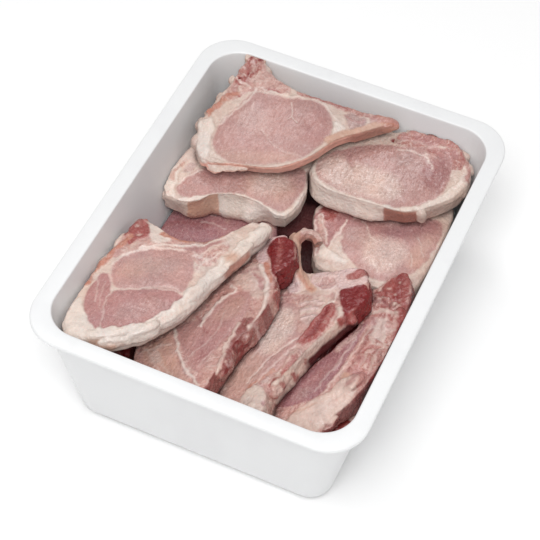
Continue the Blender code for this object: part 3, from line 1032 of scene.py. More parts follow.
TOP_CHOP = ChopPlan(
    "chop_top", (-29, 94, 102.6), (10.5, 0), TOP_MEAT, "chop_meat", CREAM, TAN, seed=1, pitch=0.6,
    patches=(
        area(BLUSH, (-57, 32), (-54, 45), (-46, 47), (-35, 38), (-12, 31), (-21, 24), (-35, 23),
             (-44, 16), (-50, 8), (-57, 5), (-60, 18), rise=0.4, ragged=1.8),
        area(SHAG, (-60, 24), (-58, 33), (-56, 48), (-45, 49), (-44, 38), (-47, 28), (-53, 20), rise=0.9,
             ragged=2.0, side=BOTH),
        spot(GRISTLE, 3.4, (-51, 43), (-56, 36), (-50, 27), rise=0.8, ragged=2.0, share=0.8),
        strip(BONE, 2.6, (-55, 44), (-53, 36), (-51, 28), rise=-0.3, share=0.8, ragged=2.0),
        strip(BONE, 2.6, (-49, 45), (-48, 38), (-47, 30), rise=-0.3, share=0.7, ragged=2.0),
        area(BONE, (-58, 20), (-57, 28), (-51, 29), (-49, 23), (-53, 18), rise=0.6, ragged=1.8,
             share=0.9),
        strip(SEAM, 1.6, (-59, 28), (-54, 22), (-48, 24), (-44, 20), share=0.8, ragged=1.8, rise=0.4),
        strip(SHAG, 5.0, (-9, 32), (10, 34), (27, 32), (48, 32), (63, 34), rise=0.3, side=BOTH,
              share=0.85),
        strip(BONE, 1.6, (-8, 30), (12, 33), (30, 31), share=0.6, ragged=1.4),
        area(LEAN, (-40, 21), (-24, 21), (-7, 27), (10, 30), (20, 22), (27, 11), (24, -4), (14, -22),
             (-10, -36), (-33, -43), (-47, -38), (-53, -25), (-52, -9), (-45, 5), swell=0.9, rise=-0.5,
             ragged=0.8),
        area(WARM, (-46, -38), (-29, -32), (-8, -24), (12, -17), (9, -25), (-12, -36), (-33, -42),
             share=0.65, feather=9.0),
        area(PALE_SHEEN, (-44, 2), (-34, 10), (-20, 4), (-14, -8), (-28, -16), (-42, -10), share=0.20,
             feather=10.0),
        area(ROSY, (10, 26), (20, 20), (25, 8), (20, -8), (8, -4), (4, 12), share=0.55, feather=9.0),
        area(GREY, (28, 28), (37, 31), (47, 28), (46, 20), (40, 14), (33, 20), rise=-0.4),
        strip(ROSY, 2.2, (30, 26), (38, 22), (44, 25), share=0.7, ragged=1.8),
        strip(SEAM, 1.4, (-52, -16), (-48, -3), (-42, 8), (-39, 16), (-40, 22), rise=0.3, share=0.85),
        strip(SEAM, 1.4, (-39, 24), (-30, 24), (-18, 24), (-6, 28), rise=0.3, share=0.85),
        strip(SEAM, 1.8, (10, 30), (19, 25), (28, 17), (37, 12), rise=0.4),
        area(FAT, (23, 18), (31, 16), (38, 11), (32, 5), (27, 3), (27, 11), rise=0.6),
        strip(SEAM, 0.9, (-11, 21), (-5, 9), (1, 6), share=0.8, feather=1.4, rise=-0.3),
        strip(SEAM, 0.8, (-5, 9), (-8, 6), share=0.7, feather=1.2),
        strip(SEAM, 0.9, (-22, -7), (-13, -16), (0, -20), (16, -18), share=0.35, feather=1.6),
        strip(SEAM, 0.8, (-36, 10), (-34, 3), share=0.5, feather=1.2),
        strip(BONE, 1.8, (-32, 25), (-23, 25), share=0.8, rise=-0.3),
        strip(BONE, 1.8, (-53, 14), (-48, 12), share=0.9),
        strip(RUST, 4.0, (-63, -9), (-61, 1), (-56, 7), (-51, 15), rise=0.5, ragged=2.0, side=BOTH),
        spot(MARROW, 2.2, (-51, 32), (-55, 46), (-47, 47), (-55, 26), ragged=1.5, side=BOTH),
        area(FAT, (-67, -22), (-62, -10), (-55, -18), (-53, -30), (-46, -44), (-50, -50), (-58, -44),
             rise=0.9, swell=0.5, side=BOTH),
        strip(CREAM, 2.6, (-48, -46), (-33, -46), (-12, -39), (10, -27), (22, -14), (27, 0), rise=0.5),
        area(CREAM, (-53, -50), (-46, -45), (-36, -46), (-26, -43), (-20, -44), (-30, -54), (-43, -60),
             rise=0.4, side=BOTH, ragged=1.8),
        strip(TAN, 7.0, (27, 2), (36, 10), (48, 20), (62, 34), rise=0.5, ragged=0.6),
        strip(RIND, 4.0, (33, 3), (43, 11), (54, 21), (68, 35), rise=0.5, ragged=0.6),
        area(RUST, (46, 36), (52, 40), (66, 40), (68, 33), (56, 28), rise=0.6, ragged=1.5, share=0.8),
        strip(ROSY, 5.0, (50, 29), (60, 34), (68, 37), feather=3.0, share=0.6, ragged=1.5),
        strip(CREAM, 12.0, (-66, -5), (-64, -32), (-52, -49), side=EDGE),
        strip(HIDE, 12.0, (-46, -50), (-28, -45), (0, -37), (14, -28), side=EDGE, feather=4.0),
        strip(CREAM, 3.0, (-40, -50), (-24, -46), (0, -38), (14, -28), side=BOTH, share=0.5, feather=4.0),
        strip(HIDE, 12.0, (12, -28), (22, -14), (32, 3), (42, 13), side=EDGE, feather=6.0),
        strip(RIND, 12.0, (44, 14), (50, 19), (66, 35), side=EDGE, feather=10.0, share=0.8),
        strip(TAN, 34.0, (-40, -52), (-28, -48), (0, -38), (19, -20), (32, 2), side=BOTH, feather=18.0,
              share=0.0, thin=0.50),
        strip(TAN, 30.0, (36, 8), (50, 18), (66, 34), side=BOTH, feather=12.0, share=0.0, thin=0.30),
    ),
    lumps=(
        Lump((-57, 47, -2), (3, 5, 4), 10), Lump((-47, 47, -2), (3, 5, 4), -10),
        Lump((-56, 38, -5), (4, 7, 6), -10), Lump((-61, 25, -4), (3, 4, 4)),
        Lump((-55, 26, -4), (5, 6, 6)), Lump((-40, 42, -4), (4, 3, 4), -30),
        Lump((-60, 6, -5), (5, 7, 6), 30), Lump((-64, -8, -5), (4, 5, 6)),
        Lump((-65, -20, -5), (4, 6, 6), 10), Lump((-62, -33, -5), (5, 6, 6)),
        Lump((-49, -48, -6), (4, 3, 4), 10), Lump((-41, -49, -7), (6, 4, 3)),
        Lump((-31, -46, -7), (7, 3, 3), 15), Lump((-23, -42, -7), (6, 3, 3), 20),
        Lump((60, 32, -5), (9, 5, 5), 30), Lump((-36, 34, -4), (7, 4, 5), -30),
    ),
)

BACK_MIDDLE = ChopPlan(
    "chop_back_middle", (-51, 70, 79), (9.6, 4.6), PALE_MEAT, "chop_meat", CREAM, CREAM, seed=2,
    pitch=0.6,
    patches=(
        area(LEAN, (-41, -42), (-40, -34), (-36, -25), (-30, -18), (-14, -7), (12, 5), (36, 16), (42, 4),
             (43, -8), (40, -21), (36, -27), (28, -27), (17, -25), (3, -26), (-14, -33), (-26, -46),
             (-34, -47), swell=0.7, rise=-0.4, ragged=0.7),
        area(WARM, (0, -24), (20, -22), (38, -22), (40, 0), (24, 4), (6, -4), share=0.55, feather=10.0),
        area(PALE_SHEEN, (8, -22), (24, -18), (36, -6), (24, 2), (4, -8), share=0.65, feather=9.0),
        area(ROSY, (-34, -24), (-14, -10), (2, -4), (-8, -16), (-24, -26), share=0.6, feather=8.0),
        area(FAT, (-52, -30), (-48, -20), (-43, -28), (-42, -42), (-36, -49), (-46, -53), (-52, -44),
             rise=0.6),
        strip(SEAM, 1.4, (-41, -37), (-37, -29), (-30, -20), rise=0.2),
        area(GREY, (-43, -28), (-42, -19), (-35, -17), (-35, -21), (-39, -28), share=0.8),
        strip(RUST, 2.6, (-46, -37), (-48, -29), (-45, -20), share=0.6),
        strip(FAT, 3.4, (-34, -50), (-22, -44), (-12, -34), (4, -27), (22, -27), (38, -31), (45, -18),
              (46, 2), rise=0.5),
        strip(FAT, 22.0, (-54, -40), (-40, -50), (-14, -34), (4, -28), (22, -28), (38, -32), (46, -10),
              side=EDGE, ragged=0.4),
        strip(CREAM, 16.0, (-50, -46), (-40, -52), (-28, -50), side=EDGE, feather=5.0, share=0.7),
        strip(FAT, 16.0, (-24, -44), (-14, -35), side=EDGE, feather=14.0, share=0.0, foot=5.0),
        strip(FAT, 16.0, (-4, -30), (4, -28), (14, -28), side=EDGE, feather=16.0, share=0.0, foot=10.0),
        area(TAN, (-28, -62), (-28, -38), (-15, -26), (-9, -36), (-16, -60), side=EDGE, feather=1.2,
             ragged=0.3),
        area(RIND, (-28, -64), (-26, -47), (-10, -39), (-14, -62), side=EDGE, feather=5.0, share=0.7),
        strip(SUET, 12.0, (16, -28), (38, -32), (45, -20), (48, 4), side=EDGE, feather=6.0),
    ),
    lumps=(Lump((-43, -46, -6), (7, 6, 6)),),
    painted_shade_from=17.0,
)

BACK_RIGHT = ChopPlan(
    "chop_back_right", (46, 106, 89.1), (11.3, -1.7), MOIST_MEAT, "chop_meat", CREAM, CREAM, seed=3,
    pitch=0.6,
    patches=(
        area(SHAG, (-8, 26), (3, 34), (21, 38), (38, 34), (50, 20), (42, 10), (26, 16), (8, 17), (-4, 17),
             rise=0.5, ragged=2.2, side=BOTH),
        area(LEAN, (-55, -24), (-44, -32), (-24, -34), (-1, -34), (20, -32), (33, -22), (42, -10),
             (42, 1), (40, 13), (35, 22), (24, 25), (9, 19), (-12, 14), (-26, 9), (-37, 1), (-48, -6),
             swell=0.8, rise=-0.3, ragged=0.8),
        area(PALE_SHEEN, (-54, -20), (-43, -6), (-30, -9), (-14, -10), (2, -8), (13, -16), (12, -30), (-7, -33),
             (-28, -32), (-44, -30), share=0.85, feather=9.0),
        area(DEEP, (20, 6), (25, 13), (33, 17), (40, 11), (41, -1), (38, -11), (29, -11), (23, -5),
             share=0.70, feather=9.0),
        area(GREY, (4, 18), (16, 12), (20, 2), (10, -4), (-6, 2), share=0.30, feather=9.0),
        strip(SEAM, 1.6, (-2, 13), (13, 17), (22, 11), share=0.7, ragged=1.6, rise=0.2),
        strip(ROSY, 3.0, (-37, -1), (-32, -6), (-28, -12), share=0.6, feather=3.0, rise=-0.8),
        spot(MARROW, 3.4, (-9, 20), ragged=1.4, rise=-0.6),
        strip(BONE, 2.6, (5, 27), (14, 28), share=0.8, ragged=1.6),
        strip(BONE, 2.6, (20, 21), (32, 18), share=0.7, ragged=1.6),
        area(ROSY, (22, 24), (32, 28), (40, 22), (36, 14), (26, 16), share=0.6, ragged=1.8),
        strip(ROSY, 6.0, (8, 25), (18, 27), (28, 24), share=0.8, ragged=2.2, feather=3.0),
        strip(SEAM, 1.8, (-2, 22), (8, 25), (20, 24), (30, 27), share=0.9, ragged=1.8, rise=0.4),
        strip(SEAM, 1.4, (18, 17), (22, 10), (27, 6), share=0.7, ragged=1.6, rise=0.3),
        strip(FAT, 7.0, (54, 12), (50, -2), (43, -16), (34, -24), rise=0.6, swell=0.3, share=0.85),
        strip(FAT, 3.0, (30, -27), (14, -35), (-8, -36), (-30, -37), (-46, -34), (-56, -22), rise=0.4),
        strip(BONE, 2.8, (40, 31), (50, 18), (54, 6), share=0.7, ragged=1.4, side=BOTH),
        strip(SUET, 18.0, (-58, -24), (-44, -34), (-20, -37), (4, -36), side=EDGE, feather=6.0),
        strip(FAT, 18.0, (-44, -34), (-20, -37), (-4, -37), side=EDGE, feather=14.0, share=0.0, foot=5.0),
        strip(CREAM, 14.0, (36, -26), (50, -10), side=EDGE, feather=4.0),
        area(RIND, (6, -48), (6, -30), (30, -26), (32, -40), side=EDGE, feather=1.6, ragged=0.4),
        strip(ROSY, 4.0, (-2, 24), (8, 25), (18, 26), (30, 23), share=0.75, ragged=2.2, feather=3.0),
        spot(ROSY, 4.5, (-4, 28), (6, 30), (14, 31), (22, 31), (31, 29), (39, 24), ragged=2.0, share=0.85,
             rise=-0.3),
    ),
    lumps=(
        Lump((2, 32, -5), (6, 5, 5)), Lump((16, 36, -5), (7, 4, 5)), Lump((30, 34, -5), (6, 5, 5), -20),
        Lump((42, 28, -6), (6, 5, 5)), Lump((-12, 25, -5), (5, 4, 5)), Lump((32, -29, -7), (4, 3, 6)),
        Lump((52, 4, -7), (5, 8, 7)), Lump((50, 17, -6), (5, 5, 6), 20),
    ),
    painted_shade_from=16.0,
)

BACK_LOW = ChopPlan(
    "chop_back_low", (50, 66, 60), (4, -1), PALE_MEAT, "chop_meat", CREAM, CREAM, seed=4, pitch=0.6,
    patches=(
        area(ROSY, (-48, 2), (-36, 12), (-16, 12), (-20, -6), (-24, -28), (-34, -42), (-42, -24),
             rise=0.3),
        area(LEAN, (-18, -24), (-23, -1), (-11, 9), (12, 20), (44, 30), (46, 6), (44, -13), (37, -27),
             (29, -37), (16, -41), (-4, -34), swell=0.7, rise=-0.4, ragged=0.9),
        area(PURPLE, (-36, 2), (-19, 2), (2, 4), (25, 16), (38, 26), (44, 20), (18, -3), (-10, -8),
             (-29, -8), share=0.55, feather=8.0),
        area(WARM, (31, 4), (42, 13), (44, -5), (40, -20), (30, -20), share=0.7, feather=9.0),
        area(GREY, (-21, -6), (-12, 0), (-1, -2), (5, -8), (-5, -16), (-17, -16), share=0.6, feather=6.0),
        area(PALE_SHEEN, (-6, -12), (8, -4), (24, -2), (32, -14), (22, -34), (2, -30), share=0.80, feather=9.0),
        area(BONE, (-46, 6), (-36, 10), (-29, 4), (-31, -6), (-40, -6), rise=0.4, ragged=1.6, share=0.85),
        area(BLUSH, (-45, 0), (-37, -5), (-29, -20), (-26, -25), (-33, -24), (-42, -10), rise=0.5,
             ragged=0.8),
        strip(SEAM, 1.3, (-44, -10), (-37, -23), (-33, -33), (-30, -43), rise=0.6, side=BOTH),
        strip(SEAM, 1.0, (-41, -2), (-34, -15), (-27, -25), rise=0.2),
        area(ROSY, (-38, -8), (-29, -2), (-25, -10), (-25, -20), (-32, -14), share=0.7, rise=-0.4),
        strip(SEAM, 1.4, (-22, 0), (-23, -14), (-24, -26), rise=0.3),
        area(FAT, (-30, -43), (-31, -32), (-31, -26), (-23, -29), (-13, -32), (-7, -33), (-11, -39),
             (-16, -45), (-22, -47), rise=0.6, side=BOTH),
        area(CREAM, (-32, -36), (-27, -37), (-19, -38), (-9, -36), (-8, -44), (-20, -54), (-34, -50),
             share=0.9, side=BOTH, feather=1.6),
        spot(WARM, 5.0, (-20, -38), share=0.55, feather=5.0),
        strip(SEAM, 0.9, (-12, 4), (-4, -3), (3, -10), share=0.7, feather=1.4),
        strip(SEAM, 0.9, (8, -25), (15, -33), share=0.8, feather=1.4),
        strip(SEAM, 0.8, (31, 5), (41, -7), share=0.6, feather=1.4),
        strip(SEAM, 0.8, (32, -10), (36, -18), share=0.6, feather=1.4),
        strip(SEAM, 0.8, (12, -22), (16, -26), share=0.6, feather=1.2),
        strip(CREAM, 3.6, (8, -45), (24, -44), (35, -38), (41, -28), (47, -10), (48, 16), rise=0.5),
        # Painted shade: the left side, in the shade of the chops about it, is painted near-black.
        strip(PAINTED_SHADE, 14.0, (-50, 10), (-44, -16), (-38, -28), side=EDGE, feather=5.0),
    ),
    lumps=(Lump((-22, -41, -10), (8, 4, 7)),),
)

FRONT_FIRST = ChopPlan(
    "chop_front_first", (-57, -61, 95.5), (-2.3, -2.3), ROSE_MEAT, "chop_meat", CREAM, CREAM, seed=5,
    pitch=0.6,
    patches=(
        area(BLUSH, (-44, -4), (-40, 36), (-10, 34), (6, 34), (24, 50), (30, 40), (26, 14), (0, 24),
             (-30, 8), rise=0.2, ragged=1.6),
        area(ROSY, (-27, -32), (-24, -25), (-3, -15), (11, -10), (22, -10), (21, -22), (15, -37),
             (4, -51), (-8, -62), (-16, -62), (-23, -46), swell=0.9, rise=-0.4, ragged=0.8),
        area(ROSY, (-41, -38), (-42, -26), (-39, -14), (-33, -14), (-26, -25), (-26, -35), (-22, -48),
             (-17, -61), (-25, -60), (-34, -52), swell=0.6, rise=-0.3, ragged=0.8),
        area(LEAN, (-37, -7), (-35, 3), (-25, 13), (-10, 21), (5, 26), (12, 21), (18, 9), (21, -9),
             (8, -10), (-10, -17), (-25, -25), (-33, -15), swell=0.9, rise=-0.4, ragged=0.8),
        area(GREY, (-20, 8), (0, 16), (10, 10), (4, 0), (-16, -6), share=0.45, feather=9.0),
        area(WARM, (-30, -4), (-24, 6), (-8, 12), (-4, 2), (-14, -10), (-26, -14), share=0.40,
             feather=8.0),
        area(GREY, (-14, -50), (0, -44), (12, -34), (16, -20), (4, -20), (-14, -34), share=0.35,
             feather=9.0),
        strip(SEAM, 1.2, (-37, -4), (-32, -17), (-26, -26), rise=0.2, share=0.50),
        strip(SEAM, 0.9, (-26, -26), (-26, -36), (-20, -52), rise=-0.2, share=0.35, feather=1.8),
        strip(SEAM, 1.0, (-24, -25), (-4, -14), (8, -8), (20, -9), rise=-0.3, share=0.42, feather=1.8),
        strip(SEAM, 0.9, (-41, -19), (-36, -30), (-31, -40), share=0.45, feather=1.5),
        strip(SEAM, 0.8, (-34, -22), (-30, -34), (-24, -48), share=0.30, feather=1.5),
        strip(SEAM, 1.4, (-36, -6), (-34, 4), (-25, 14), (-10, 22), (5, 27), rise=0.35, share=0.9),
        area(FAT, (-31, 40), (-18, 38), (-8, 30), (-17, 22), (-26, 26), (-32, 34), rise=0.5, share=0.80,
             ragged=1.6),
        area(BONE, (-34, 12), (-42, 24), (-41, 41), (-31, 41), (-27, 30), (-30, 20), rise=0.6, ragged=2.0,
             side=BOTH),
        spot(CREAM, 2.6, (-36, 34), (-38, 20), (-32, 26), ragged=1.8, share=0.7),
        strip(RUST, 5.0, (-17, 34), (-4, 34), (12, 40), (24, 54), rise=0.3, ragged=1.2),
        strip(BONE, 1.6, (-14, 35), (-4, 35), (8, 39), share=0.6, ragged=1.5),
        strip(SEAM, 2.0, (-24, 39), (-7, 37), (10, 43), (22, 56), rise=0.5),
        strip(SEAM, 1.8, (-25, 15), (-11, 25), (5, 31), (18, 39), (27, 54), rise=0.4),
        area(ROSY, (0, 26), (6, 31), (16, 36), (24, 47), (21, 34), (12, 26), share=0.9, ragged=1.4),
        spot(ROSY, 3.0, (17, 22), (22, 32), (26, 44), (18, 14), ragged=1.8, share=0.7),
        strip(SEAM, 1.4, (14, 24), (20, 34), (28, 48), share=0.8, ragged=1.8, rise=0.3),
        strip(SEAM, 1.4, (18, 10), (21, 22), (30, 38), share=0.8, ragged=1.8, rise=0.3),
        strip(SEAM, 1.2, (10, 26), (18, 22), (24, 24), share=0.7, ragged=1.8, rise=0.3),
        strip(RUST, 4.6, (-36, 22), (-42, 4), (-45, -13), (-46, -28), rise=0.6, ragged=1.8, side=BOTH),
        strip(CREAM, 2.0, (-39, -2), (-42, -14), (-43, -30), share=0.8, ragged=1.4),
        area(FAT, (-43, -70), (-46, -48), (-43, -39), (-33, -52), (-24, -60), (-12, -64), (-28, -74),
             rise=0.5, swell=0.3, side=BOTH),
        strip(FAT, 10.0, (-18, -66), (4, -52), (16, -37), (24, -15), (28, 3), (33, 21), (39, 45),
              (45, 69), rise=1.2, swell=0.8, ragged=1.4, side=BOTH),
        strip(TAN, 2.4, (14, -38), (22, -22), (27, -2), share=0.30, feather=3.0, ragged=1.6),
        strip(FAT, 12.0, (8, -50), (24, -20), (34, 14), (42, 46), side=EDGE, feather=6.0, foot=3.0),
        spot(TAN, 10.0, (35, 34), feather=6.0, share=0.90),
        area(RIND, (30, 18), (31, 32), (38, 46), (50, 50), (46, 24), side=EDGE, feather=5.0, share=0.9),
        area(TAN, (-24, -84), (-22, -64), (-6, -60), (0, -70), side=EDGE, feather=3.0, share=0.8),
        strip(RUST, 8.0, (-40, 40), (-20, 40), (0, 36), (14, 42), (26, 58), side=EDGE, feather=4.0,
              share=0.8),
    ),
    lumps=(
        Lump((-37, 36, -5), (6, 7, 6), 10), Lump((-42, 18, -5), (4, 9, 6)),
        Lump((-45, -4, -6), (3, 10, 6)), Lump((41, 60, -4), (5, 14, 5), -22),
        Lump((36, 38, -5), (5, 18, 5), -15), Lump((30, 18, -5), (5, 18, 5), -15),
        Lump((25, -2, -5), (5, 18, 5), -14), Lump((18, -24, -5), (6, 18, 5), -22),
        Lump((7, -44, -5), (7, 15, 5), -38), Lump((-8, -60, -6), (12, 6, 5), 40),
    ),
)

FRONT_SECOND = ChopPlan(
    "chop_front_second", (-22, -57, 75), (0, -17.7), DARK_MEAT, "chop_meat", BLUSH, BLUSH, seed=6,
    pitch=0.6,
    patches=(
        area(LEAN, (-17, -27), (-12, -18), (-1, -14), (2, 4), (12, 16), (20, 19), (27, 9), (27, -5),
             (24, -22), (20, -35), (19, -50), (16, -58), (5, -50), (-6, -38), swell=0.8, rise=-0.3,
             ragged=0.8),
        area(WARM, (4, -4), (14, 12), (22, 12), (25, 0), (18, -10), (6, -12), share=0.55, feather=7.0),
        area(ROSY, (4, -44), (16, -54), (22, -30), (25, -12), (14, -10), (6, -22), share=0.6,
             feather=8.0),
        strip(DEEP, 1.4, (-6, -11), (2, -20), (7, -24), share=0.8, feather=2.0, ragged=1.4),
        strip(DEEP, 1.2, (8, -34), (14, -44), share=0.5, feather=2.0),
        area(CREAM, (1, 30), (9, 42), (21, 44), (32, 30), (34, 14), (26, 12), (16, 22), (5, 22), rise=0.5,
             ragged=1.8, share=0.75),
        strip(ROSY, 3.0, (15, 33), (22, 32), (29, 22), share=0.8, ragged=1.8, rise=-0.4),
        strip(ROSY, 3.0, (6, 34), (14, 40), (24, 38), (32, 28), share=0.6, ragged=1.5, rise=-0.3),
        strip(FAT, 2.2, (-17, -26), (-9, -37), (-3, -47), (7, -56), (22, -66), rise=0.5),
        strip(FAT, 2.4, (0, -19), (0, -4), (5, 8), (12, 19), (5, 20), rise=0.5, ragged=1.6),
        area(WARM, (-33, -50), (-24, -36), (-17, -30), (-9, -40), (-3, -50), (7, -59), (20, -68),
             (4, -72), (-16, -66), share=0.8, rise=-0.2),
        strip(TAN, 1.8, (-26, -40), (-12, -52), (0, -64), share=0.6, rise=0.3),
        strip(TAN, 1.4, (-20, -36), (-9, -48), (4, -62), share=0.5, rise=0.3),
        strip(SEAM, 1.2, (-29, -46), (-16, -56), (-6, -66), share=0.6, rise=0.3),
        strip(SEAM, 0.9, (5, -46), (12, -32), (14, -16), (12, -2), share=0.45, feather=1.6),
        strip(SEAM, 0.9, (16, -52), (20, -34), (22, -16), share=0.45, feather=1.6),
        strip(DEEP, 2.0, (22, -20), (20, -34), (14, -46), share=0.5, feather=3.0, ragged=1.6),
        strip(SEAM, 1.4, (10, 38), (16, 30), (24, 26), share=0.7, ragged=2.0, rise=0.4),
        strip(SEAM, 1.2, (6, 32), (12, 26), (20, 24), share=0.6, ragged=2.0, rise=0.3),
        area(PALE_SHEEN, (-27, -48), (-22, -43), (-12, -52), (-16, -60), share=0.8, feather=4.0),
        strip(SEAM, 1.4, (-30, -48), (-22, -42), (-14, -38), share=0.6, ragged=1.8, rise=0.3),
        strip(CREAM, 2.0, (-22, -46), (-8, -58), (8, -70), share=0.5, ragged=1.8, feather=3.0),
        area(MARROW, (14, 58), (14, 69), (23, 77), (33, 68), (39, 53), (38, 40), (32, 34), (24, 48),
             rise=0.5, ragged=0.8, side=BOTH, feather=1.4),
        strip(BONE, 3.0, (22, 68), (27, 56), (32, 44), share=0.7, feather=3.0, ragged=1.6),
        area(GRISTLE, (9, 64), (12, 74), (21, 79), (26, 75), (15, 69), (15, 58), (22, 48), (17, 42),
             (10, 50), rise=0.8, ragged=0.8, feather=1.4, side=BOTH),
        area(RUST, (18, 46), (24, 45), (30, 37), (33, 28), (27, 33), rise=0.4, ragged=0.8, feather=1.2),
        strip(FAT, 3.0, (18, 42), (27, 32), (34, 20), (38, 6), (36, -10), (32, -22), rise=1.0,
              ragged=1.0),
        strip(MARROW, 7.0, (31, -8), (31, -24), (33, -42), (37, -64), side=BOTH, share=0.75, ragged=1.6),
        strip(CREAM, 2.2, (27, -10), (26, -26), (28, -44), (31, -64), rise=0.8, ragged=1.6),
        spot(CREAM, 1.8, (32, -24), (32, -44), (35, -58), ragged=1.8, share=0.7, rise=0.5),
        strip(MARROW, 16.0, (41, 4), (38, -16), (33, -40), (32, -70), side=EDGE, feather=3.0, share=0.80),
        strip(SHAG, 3.0, (36, 0), (34, -22), (31, -44), (31, -64), share=0.6, ragged=1.4, side=EDGE),
        spot(GRISTLE, 3.0, (36, -8), (34, -26), (33, -44), (33, -60), side=EDGE, ragged=1.8, share=0.6),
        strip(BONE, 14.0, (42, 24), (40, 36), side=EDGE, feather=4.0),
        strip(MARROW, 20.0, (42, 44), (34, 72), (18, 80), side=EDGE, feather=3.0),
    ),
    lumps=(
        Lump((24, 62, -7), (8, 10, 7), -25), Lump((31, 50, -8), (6, 8, 8)),
        Lump((34, 20, -5), (4, 10, 6), -10), Lump((33, -8, -5), (4, 12, 6)),
        Lump((29, -40, -6), (4, 14, 7)), Lump((22, 34, -3), (6, 6, 4)),
    ),
)

